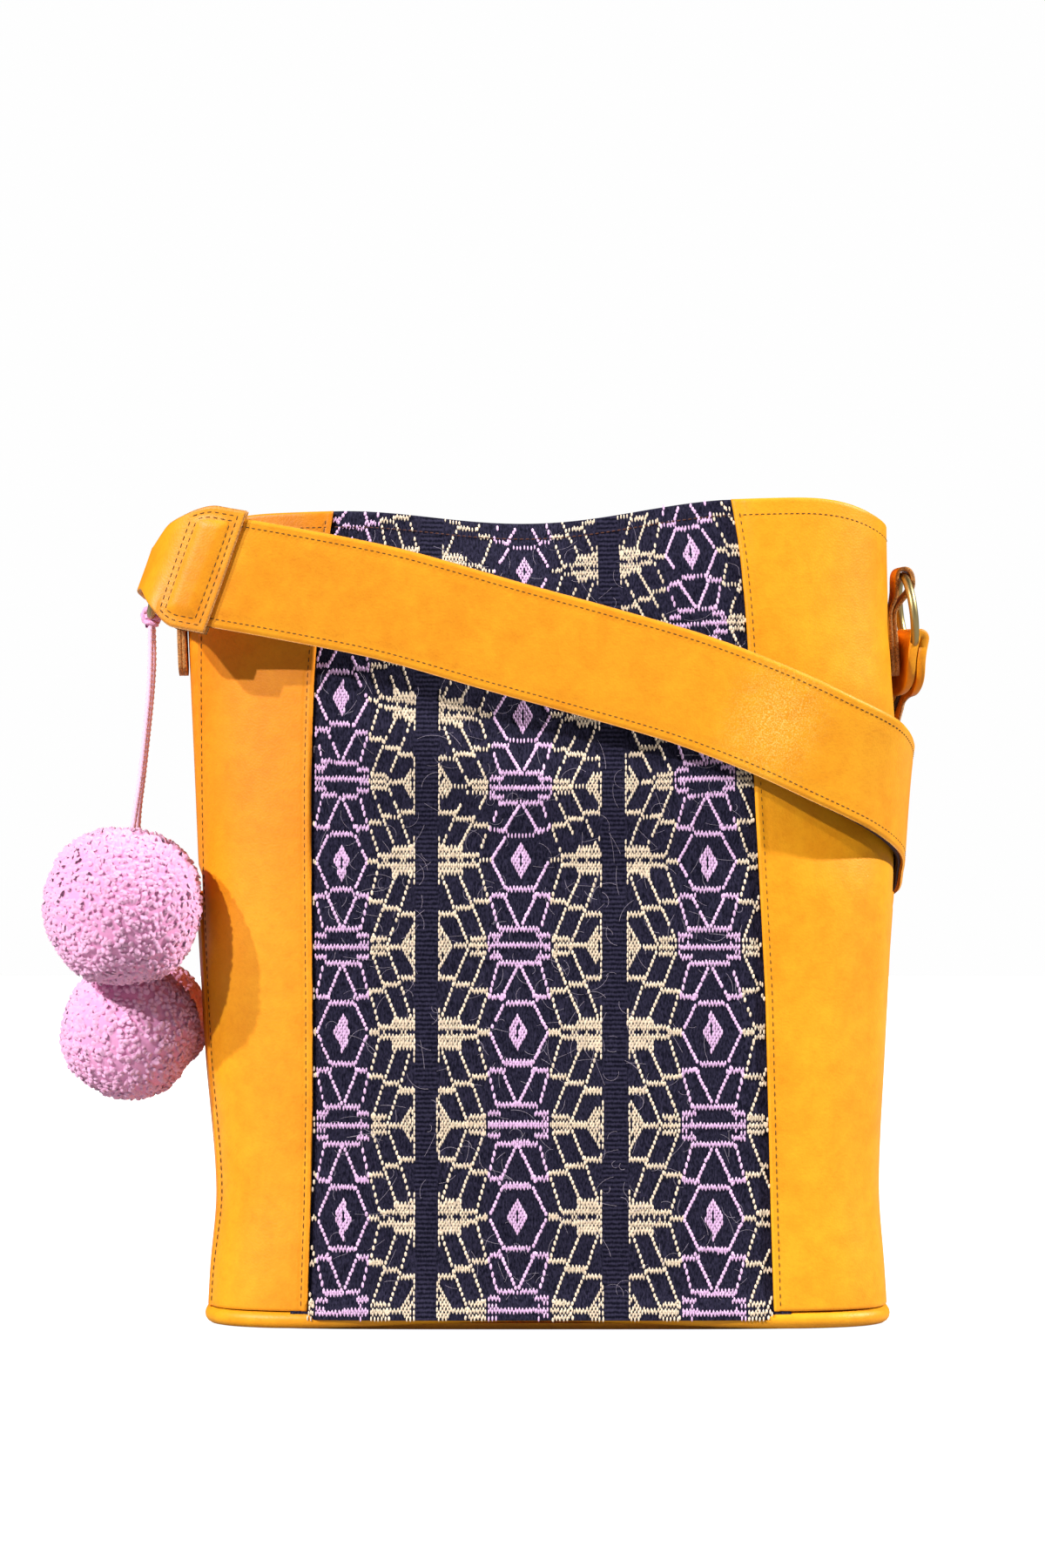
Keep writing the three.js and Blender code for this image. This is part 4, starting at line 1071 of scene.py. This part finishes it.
# Strap: a wide band of amber leather on a dark suede backing, sewn along both edges. It comes from
# the left ring across the front, round the right side, and in a loose loop behind the bag. Each row
# of its route is a point of its middle line, its lean to the front and its tilt, in degrees.
STRAP_ROUTE = np.array([
    (-156.6, -19.5, 301.0, 0, 15), (-156.6, -28.0, 301.0, 0, 15), (-157.2, -41.0, 303.0, 0, 20),
    (-149.0, -55.0, 305.4, 0, 22), (-128.0, -61.0, 302.0, 0, 20), (-102.0, -61.5, 297.4, 0, 13),
    (-62.0, -62.0, 289.3, 0, 13), (-17.0, -61.5, 276.6, 0, 15), (19.5, -61.0, 266.6, 0, 16),
    (55.9, -60.5, 256.0, 0, 17), (88.0, -59.5, 243.9, 0, 18), (113.0, -55.5, 232.5, 0, 18),
    (133.4, -45.4, 222.4, 0, 11), (144.0, -25.0, 213.0, 0, 5), (145.8, 0.0, 204.2, 0, 4),
    (142.8, 27.5, 195.0, 0, 2), (126.0, 57.0, 185.0, 0, 0), (88.0, 74.0, 173.0, 0, 0),
    (30.0, 77.0, 157.0, 0, 0), (-25.0, 80.0, 142.0, 0, 0), (-58.0, 94.0, 133.0, 0, 0),
    (-66.0, 112.0, 130.5, 0, 0), (-54.0, 130.0, 132.0, 0, 0), (-18.0, 140.0, 141.0, 0, 0),
    (35.0, 137.0, 163.0, -4, 0), (80.0, 122.0, 194.0, -8, 0), (109.0, 98.0, 223.0, -10, -3),
    (125.0, 66.0, 246.0, -14, -5), (137.4, 38.0, 259.0, -19, -6), (141.6, 29.0, 262.2, -24, -7),
    (144.8, 20.2, 263.2, -29, -7), (148.0, 10.8, 263.4, -37, -8), (149.4, 3.6, 265.2, -54, -10),
    (149.4, 0.2, 269.8, -72, -35), (149.4, 0.0, 277.3, -68, -90),
])
STRAP_WIDTH = 45.0
STRAP_INSET = 5.0
STRAP_POINTS = 4000
STRAP_FACE = 1.85
STRAP_LEATHER = 1.9
STRAP_BACKING = 1.5
STRAP_START = 15.0
STRAP_STEP = 2.0
STRAP_ACROSS = (STRAP_WIDTH, 3.0, 6.0)
STRAP_STITCH = 3.4
STRAP_TONE = 0.26
STRAP_RAW = 0.6
STRAP_RAW_WIDTH = 0.5
# Painted highlight: the span of the strap where its deeper tone fades out, leaving it lighter.
PAINTED_LIGHT_START = (225.0, 290.0)
PAINTED_LIGHT_END = (330.0, 380.0)
# Painted highlight: a patch of pale glints across the strap, round this distance along it.
PAINTED_GLINT_LEVEL = 0.7
PAINTED_GLINT_AT = 288.0
PAINTED_GLINT_HALF = 26.0
PAINTED_GLINT_ACROSS = 36.0
STRAP_END_LENGTH = 62.0
STRAP_END_LEATHER = 1.6
STRAP_END_BEND = 3.15
STRAP_END_FOLD = 19.0
STRAP_END_WIDTH = 51.0
STRAP_END_SLANT = 0.16
FOLD_STEPS = 14
LEAF_ACROSS = (40.0, 1.2, 4.0)
LEAF_WIDENS = (22.0, 50.0)
LEAF_BOX_START = 39.0
LEAF_SLANTS = (16.0, LEAF_BOX_START)
LEAF_ROWS = (2.8, 5.0)
LEAF_PUFF = 1.2
LEAF_PUFF_EDGE = (4.5, 9.0)
LEAF_FILLED = (8.0, 26.0)
LEAF_FILLING = 0.9
LEAF_RAW = (12.0, 28.0)
LEAF_RAW_LEVEL = 1.3
LEAF_RAW_WIDTH = 0.7
LEAF_TIP = np.array([0.6, 0.3, 0.1, 0.0])

route_run = run_along(STRAP_ROUTE[:, :3])
route_fine = np.linspace(0.0, route_run[-1], STRAP_POINTS)
strap_rows = np.stack([smooth_at(route_run, column, route_fine) for column in STRAP_ROUTE.T], axis=1)
strap_line = strap_rows[:, :3]
strap_run = run_along(strap_line)
strap_length = strap_run[-1]
strap_way = unit(np.gradient(strap_line, axis=0))
strap_lean, strap_tilt = np.radians(strap_rows[:, 3:]).T
strap_up = np.stack([
    np.sin(strap_tilt) * np.cos(strap_lean), -np.sin(strap_lean), np.cos(strap_tilt) * np.cos(strap_lean),
], axis=1)
strap_up = unit(strap_up - strap_way * np.sum(strap_up * strap_way, axis=1, keepdims=True))
strap_out = np.cross(strap_way, strap_up)


def strap_end_width(distance):
    """Width of a strap end at a distance from its fold: narrow in the ring, a leaf on the strap."""
    return STRAP_END_FOLD + (STRAP_END_WIDTH - STRAP_END_FOLD) * ease(*LEAF_WIDENS, distance)


def strap_width(distance):
    """Width of the strap, less inside the narrow part of its ends."""
    from_end = np.minimum(distance, strap_length - distance)
    return np.minimum(STRAP_WIDTH, strap_end_width(from_end) - STRAP_INSET)


def strap_place(distance, sideways, lift, ahead=0.0):
    """Points of the strap at a distance along it, moved across its width, out of its face and ahead."""
    distance, *moves = np.broadcast_arrays(distance, sideways, lift, ahead)
    points = columns_at(strap_run, strap_line, distance)
    for way, move in zip((strap_up, strap_out, strap_way), moves):
        points = points + columns_at(strap_run, way, distance) * move[..., None]
    return points


def strap_layer(name, low, high, slot, material):
    """One layer of the strap with round edges and a groove under each stitch row. Its leather is painted
    lighter over a span, with pale glints, as a highlight.
    """
    distance = np.arange(STRAP_START, strap_length - STRAP_START, STRAP_STEP)[:, None]
    width = strap_width(distance)
    sideways = (edged_shares(*STRAP_ACROSS)[None, :] - 0.5) * width
    edge = np.maximum(width / 2 - np.abs(sideways), 0)
    drop = rounded(edge, (high - low) / 2)
    # Painted highlight: the strap is lighter over this span.
    painted_light = ease(*PAINTED_LIGHT_START, distance) * (1 - ease(*PAINTED_LIGHT_END, distance))
    sheet_piece(
        name, strap_place(distance, sideways, high - drop - groove(edge, STRAP_STITCH)),
        strap_place(distance, sideways, low + drop), slot, material,
        raw=STRAP_RAW * np.clip(1 - edge / STRAP_RAW_WIDTH, 0, 1), tone=STRAP_TONE * (1 - painted_light),
        rubbed=PAINTED_GLINT_LEVEL * hump(distance - PAINTED_GLINT_AT, PAINTED_GLINT_HALF) * hump(sideways, PAINTED_GLINT_ACROSS),
    )


dark_backing = new_material(
    "dark_backing", Base_Color=(0.102, 0.069, 0.073, 1), Roughness=0.9, Specular_IOR_Level=0.15,
)
strap_layer(
    "strap_leather", STRAP_FACE - STRAP_LEATHER, STRAP_FACE, "amber_leather", amber_leather,
)
strap_layer(
    "strap_backing", -STRAP_FACE, STRAP_BACKING - STRAP_FACE, "dark_backing", dark_backing,
)


def leaf_distance(along, sideways, at_right):
    """Distance along the strap of a place of a strap end, which lies slanted on the strap."""
    distance = along + STRAP_END_SLANT * ease(*LEAF_SLANTS, along) * sideways
    return strap_length - distance if at_right else distance


def strap_end(name, at_right):
    """A leaf of leather on each face of the strap, folded round the ring between them, with a puffed
    middle inside its stitch rows."""
    leaf = np.arange(0.0, STRAP_END_LENGTH + 0.1, 1.0)
    leaf = np.concatenate([leaf[:-1], STRAP_END_LENGTH - LEAF_TIP])
    fold = np.linspace(0.0, 1.0, FOLD_STEPS)[1:-1]
    along = np.concatenate([leaf[::-1], 0 * fold, leaf])[:, None]
    past = np.concatenate([0 * leaf, fold, 0 * leaf + 1])[:, None]
    width = strap_end_width(along)
    sideways = (edged_shares(*LEAF_ACROSS)[None, :] - 0.5) * width
    edge = np.maximum(np.minimum(width / 2 - np.abs(sideways), STRAP_END_LENGTH - along), 0)
    box_edge = np.minimum(edge, along - LEAF_BOX_START)
    puff = LEAF_PUFF * ease(*LEAF_PUFF_EDGE, box_edge) - sum(groove(box_edge, row) for row in LEAF_ROWS)
    drop = rounded(edge, STRAP_END_LEATHER / 2)
    filled = LEAF_FILLING * (1 - ease(*LEAF_FILLED, along))
    outer = STRAP_END_BEND + STRAP_END_LEATHER / 2 - drop + puff
    inner = (STRAP_END_BEND - STRAP_END_LEATHER / 2 + drop) * (1 - filled)
    distance = leaf_distance(along, sideways, at_right)
    facing = -1 if at_right else 1
    turned = facing * np.cos(np.pi * past)
    ahead = -facing * np.sin(np.pi * past)
    sheet_piece(
        name, strap_place(distance, sideways, turned * outer, ahead * outer),
        strap_place(distance, sideways, turned * inner, ahead * inner), "amber_leather", amber_leather,
        raw=np.clip(LEAF_RAW_LEVEL - edge / LEAF_RAW_WIDTH, 0, 1) * ease(*LEAF_RAW, along), tone=STRAP_TONE,
    )


strap_end("strap_end_left", False)
strap_end("strap_end_right", True)

# Side tabs: a strip of leather on each side of the bag, folded round the top of the ring and sewn
# down through both layers. Its cut edges are raw and fibrous.
TAB_LAYER = 1.5
TAB_PADDING = 0.15
TAB_GAP = 0.3
WIRE_GAP = 0.6
TAB_HALF_WIDTH = 7.5
TAB_HALF_LOOP = 6.5
TAB_ACROSS = (2 * TAB_HALF_WIDTH, 1.2, 1.6)
TAB_STEP = 0.8
TAB_FOOT = 262.0
TAB_SEWN = 12.0
TAB_NECK = 15.0
TAB_TAPER = 14.0
TAB_END_ROUND = 5.0
TAB_EDGE = 0.5
TAB_RAW = 1.4
TAB_END_LEAST = 0.08


def side_tab(name, place, side):
    """A strip that lies on the bag's side, goes round the ring's wire, and comes down again outside
    its own first layer. side is 1 on the right and -1 on the left."""
    ring_x, ring_y, ring_z, swing, turned = place
    wire_x = side * (ring_x - RING_RADIUS * math.sin(math.radians(swing)))
    wire_z = ring_z + RING_RADIUS * math.cos(math.radians(swing))
    bend = WIRE_RADIUS + WIRE_GAP + TAB_LAYER / 2
    slant = bend * math.sqrt(0.5)
    low = TAB_FOOT + TAB_SEWN
    neck = wire_z - TAB_NECK
    throat = wire_z - TAB_NECK / 2
    wall = right_edge[:, 0] if side > 0 else -left_edge[:, 0]

    def inner_x(z):
        return float(np.interp(z, table_heights, wall)) + TAB_GAP + TAB_LAYER / 2

    def outer_x(z):
        return inner_x(z) + TAB_LAYER + TAB_GAP

    line = smooth_route([
        (inner_x(TAB_FOOT), 0, TAB_FOOT), (inner_x(low), 0, low), (inner_x(neck), 0, neck),
        (max(inner_x(throat), wire_x - bend - TAB_GAP), 0, throat), (wire_x - bend, 0, wire_z),
        (wire_x - slant, 0, wire_z + slant), (wire_x, 0, wire_z + bend),
        (wire_x + slant, 0, wire_z + slant),
        (wire_x + bend + TAB_GAP, 0, wire_z - WIRE_RADIUS / 2), (wire_x + bend, 0, wire_z - TAB_NECK / 3),
        ((wire_x + outer_x(neck) + WIRE_RADIUS) / 2, 0, wire_z - 2 * TAB_NECK / 3),
        (outer_x(neck), 0, neck), (outer_x(low), 0, low), (outer_x(TAB_FOOT), 0, TAB_FOOT),
    ], TAB_STEP)
    run = run_along(line)
    way = unit(np.gradient(line, axis=0))[:, None]
    spot = line[:, None]
    from_end = np.minimum(run, run[-1] - run)[:, None]
    narrow = ease(neck - TAB_TAPER, neck, spot[..., 2])
    half = TAB_HALF_WIDTH + (TAB_HALF_LOOP - TAB_HALF_WIDTH) * narrow
    half = half * np.sqrt(np.clip(1 - (1 - np.minimum(from_end / TAB_END_ROUND, 1)) ** 2, TAB_END_LEAST, 1))
    width = (edged_shares(*TAB_ACROSS)[None, :] - 0.5) * 2 * half * side
    edge = np.maximum(half - np.abs(width), 0)
    slew = -math.tan(math.radians(turned)) * width * ease(neck, throat, spot[..., 2])

    def tab_points(lift):
        x = side * (spot[..., 0] - way[..., 2] * lift) + slew
        return np.stack([x, ring_y + width, spot[..., 2] + way[..., 0] * lift], axis=-1)

    lift = TAB_LAYER / 2 + TAB_PADDING * (1 - narrow) - rounded(edge, TAB_EDGE)
    sheet_piece(
        name, tab_points(lift), tab_points(-lift), "amber_leather", amber_leather,
        raw=np.clip(TAB_RAW - edge / TAB_EDGE, 0, 1),
    )


side_tab("side_tab_left", RING_LEFT, -1)
side_tab("side_tab_right", RING_RIGHT, 1)

# Stitches: rows of thick waxed thread, dark olive brown on the leather and rust on the cloth's hem.
# They are close on the strap and the hems, and wide on the seams and the strap's ends.
STITCH_PITCH = 2.4
SEAM_PITCH = 3.1
STITCH_SHARE = 0.76
STITCH_WIDTH = 0.5
STITCH_HEIGHT = 0.3
FRONT_ROW = -0.08
BACK_ROW = -0.4
POCKET_ROW = POCKET_GAPE - 0.5
CLOTH_ROW = CLOTH_FACE + 0.45
ROW_SUNK = 0.25
STRAP_ROWS_START = 56.0
ROW_POINTS = 400
FRONT_HEM_POINTS = 200
CLOTH_HEM_POINTS = 300
STRAP_ROW_POINTS = 3000
FRONT_ROW_GAP = 1.0
BACK_ROW_GAP = 2.0
SEAM_ENDS = (9.0, 328.0)
SEAM_TOP_GAP = 1.5
LEAF_LONG = 60
LEAF_SHORT = 50


def stitch_row(line, out, pitch):
    """Stitches in even steps along a line, each lying square to the face's outward direction."""
    run = run_along(line)
    at = np.arange(pitch / 2, run[-1], pitch)
    along = unit(columns_at(run, np.gradient(line, axis=0), at))
    facing = columns_at(run, out, at)
    facing = unit(facing - along * np.sum(facing * along, axis=1, keepdims=True))
    centres = columns_at(run, line, at)
    return floats(centres, along, facing, STITCH_SHARE * pitch, STITCH_WIDTH, STITCH_HEIGHT)


def skin_row(distance, height, outwards, pitch=STITCH_PITCH):
    """A stitch row on the bag's face."""
    points = skin_point(distance, height, np.full_like(height, outwards))
    return stitch_row(points, skin_normal(distance, height), pitch)


def hem_row(left, right, outwards, gap, count):
    """A stitch row below the mouth, between two edges and a gap in from each."""
    line = np.linspace(left(DENT_TOP) + gap, right(DENT_TOP) - gap, count)
    return skin_row(line, rim_height(line) - HEM_STITCH, outwards)


def strap_row(distance, sideways, lift, pitch=STITCH_PITCH):
    """A stitch row on the strap's face."""
    out = columns_at(strap_run, strap_out, distance) * np.sign(lift)
    return stitch_row(strap_place(distance, sideways, lift), out, pitch)


def leaf_loop(inset, at_right, outer_side):
    """A stitch row round a strap end's leaf, inset from its edges, on its outer or inner leaf."""
    far = STRAP_END_LENGTH - inset
    near = LEAF_BOX_START + inset
    run_out = np.linspace(near, far, LEAF_LONG)
    cross = np.linspace(1.0, -1.0, LEAF_SHORT)
    along = np.concatenate([run_out, np.full(LEAF_SHORT, far), run_out[::-1], np.full(LEAF_SHORT, near)])
    share = np.concatenate([np.ones(LEAF_LONG), cross, -np.ones(LEAF_LONG), -cross])
    sideways = share * (strap_end_width(along) / 2 - inset)
    lift = outer_side * (STRAP_END_BEND + STRAP_END_LEATHER / 2 - ROW_SUNK)
    return strap_row(leaf_distance(along, sideways, at_right), sideways, lift, SEAM_PITCH)


def thread_material(name, colour):
    """Waxed thread in one colour."""
    return new_material(name, Base_Color=(*colour, 1), Roughness=0.6, Specular_IOR_Level=0.3)


seam_rows = []
seam_heights = np.linspace(*SEAM_ENDS, ROW_POINTS)
seams = (
    (cloth_left, -RIDGE_WIDTH), (cloth_right, RIDGE_WIDTH),
    (seam_left, SEAM_STITCH), (seam_right, -SEAM_STITCH),
)
for seam, beside in seams:
    seam_line = seam(seam_heights) + beside
    below = seam_heights < rim_height(seam_line) - SEAM_TOP_GAP
    seam_rows.append(skin_row(seam_line[below], seam_heights[below], FRONT_ROW, SEAM_PITCH))
for left, right in ((seam_left, cloth_left), (cloth_right, seam_right)):
    seam_rows.append(hem_row(left, right, FRONT_ROW, FRONT_ROW_GAP, FRONT_HEM_POINTS))
seam_rows.append(hem_row(seam_right, back_left, BACK_ROW, BACK_ROW_GAP, ROW_POINTS))
pocket_level = POCKET_TOP - POCKET_HEM
pocket_ends = (seam_right(pocket_level) + BACK_ROW_GAP, back_left(pocket_level) - BACK_ROW_GAP)
pocket_line = np.linspace(*pocket_ends, ROW_POINTS)
seam_rows.append(skin_row(pocket_line, np.full(ROW_POINTS, pocket_level), POCKET_ROW))
strap_between = np.linspace(STRAP_ROWS_START, strap_length - STRAP_ROWS_START, STRAP_ROW_POINTS)
for share in (-1, 1):
    strap_sideways = share * (strap_width(strap_between) / 2 - STRAP_STITCH)
    for outer_side in (1, -1):
        seam_rows.append(strap_row(strap_between, strap_sideways, outer_side * (STRAP_FACE - ROW_SUNK)))
for at_right in (False, True):
    for outer_side in (-1, 1):
        for inset in LEAF_ROWS:
            seam_rows.append(leaf_loop(inset, at_right, outer_side))
olive_thread = thread_material("olive_thread", (0.125, 0.047, 0.004))
add_piece("seam_stitches", *joined(seam_rows), "amber_leather", olive_thread, False)
rust_thread = thread_material("rust_thread", (0.10, 0.03, 0.015))
cloth_hem_row = hem_row(cloth_left, cloth_right, CLOTH_ROW, FRONT_ROW_GAP, CLOTH_HEM_POINTS)
add_piece("hem_stitches", *cloth_hem_row, "woven_cloth", rust_thread, False)

# Floor and light: a white sweep, two strong lights from the upper left in front, one from high on
# the right, and soft white light from all round. Floor and room look whiter than they light.
FLOOR_HALF = 4.0
FLOOR_BOUNCE = 0.34
ROOM_LIGHT = 0.045
ROOM_SEEN = 0.992
floor_mesh = bpy.data.meshes.new("floor")
floor_corners = [(x * FLOOR_HALF, y * FLOOR_HALF, 0) for x, y in ((-1, -1), (1, -1), (1, 1), (-1, 1))]
floor_mesh.from_pydata(floor_corners, [], [(0, 1, 2, 3)])
floor = bpy.data.objects.new("floor", floor_mesh)
bpy.context.collection.objects.link(floor)
floor_white = new_material(
    "floor_white", Base_Color=(FLOOR_BOUNCE, FLOOR_BOUNCE, FLOOR_BOUNCE, 1), Roughness=1.0,
    Specular_IOR_Level=0.0, Emission_Color=(1, 1, 1, 1),
)
floor_seen = floor_white.node_tree.nodes.new("ShaderNodeLightPath").outputs["Is Camera Ray"]
dress(floor_white, Emission_Strength=floor_seen)
floor_mesh.materials.append(floor_white)


def sun(name, strength, azimuth, elevation, spread):
    """A far light from a compass direction, in degrees to the left of the front, and a height."""
    data = bpy.data.lights.new(name, "SUN")
    data.energy = strength
    data.angle = math.radians(spread)
    light = bpy.data.objects.new(name, data)
    light.rotation_euler = (math.radians(90 - elevation), 0.0, math.radians(-azimuth))
    bpy.context.collection.objects.link(light)


sun("key_near", 2.5, 40.0, 32.0, 1.5)
sun("key_far", 2.2, 57.0, 36.0, 1.5)
sun("key_right", 4.7, -83.0, 36.0, 3.0)
world = bpy.data.worlds.new("white_room")
world.use_nodes = True
world_tree = world.node_tree
room_seen = world_tree.nodes.new("ShaderNodeLightPath").outputs["Is Camera Ray"]
room_level = new_node(
    world_tree, "ShaderNodeMapRange", Value=room_seen, To_Min=ROOM_LIGHT, To_Max=ROOM_SEEN,
)
set_inputs(
    world_tree, world_tree.nodes["Background"], Color=(1, 1, 1, 1), Strength=room_level.outputs["Result"],
)
bpy.context.scene.world = world
bpy.context.scene.view_settings.view_transform = "Standard"
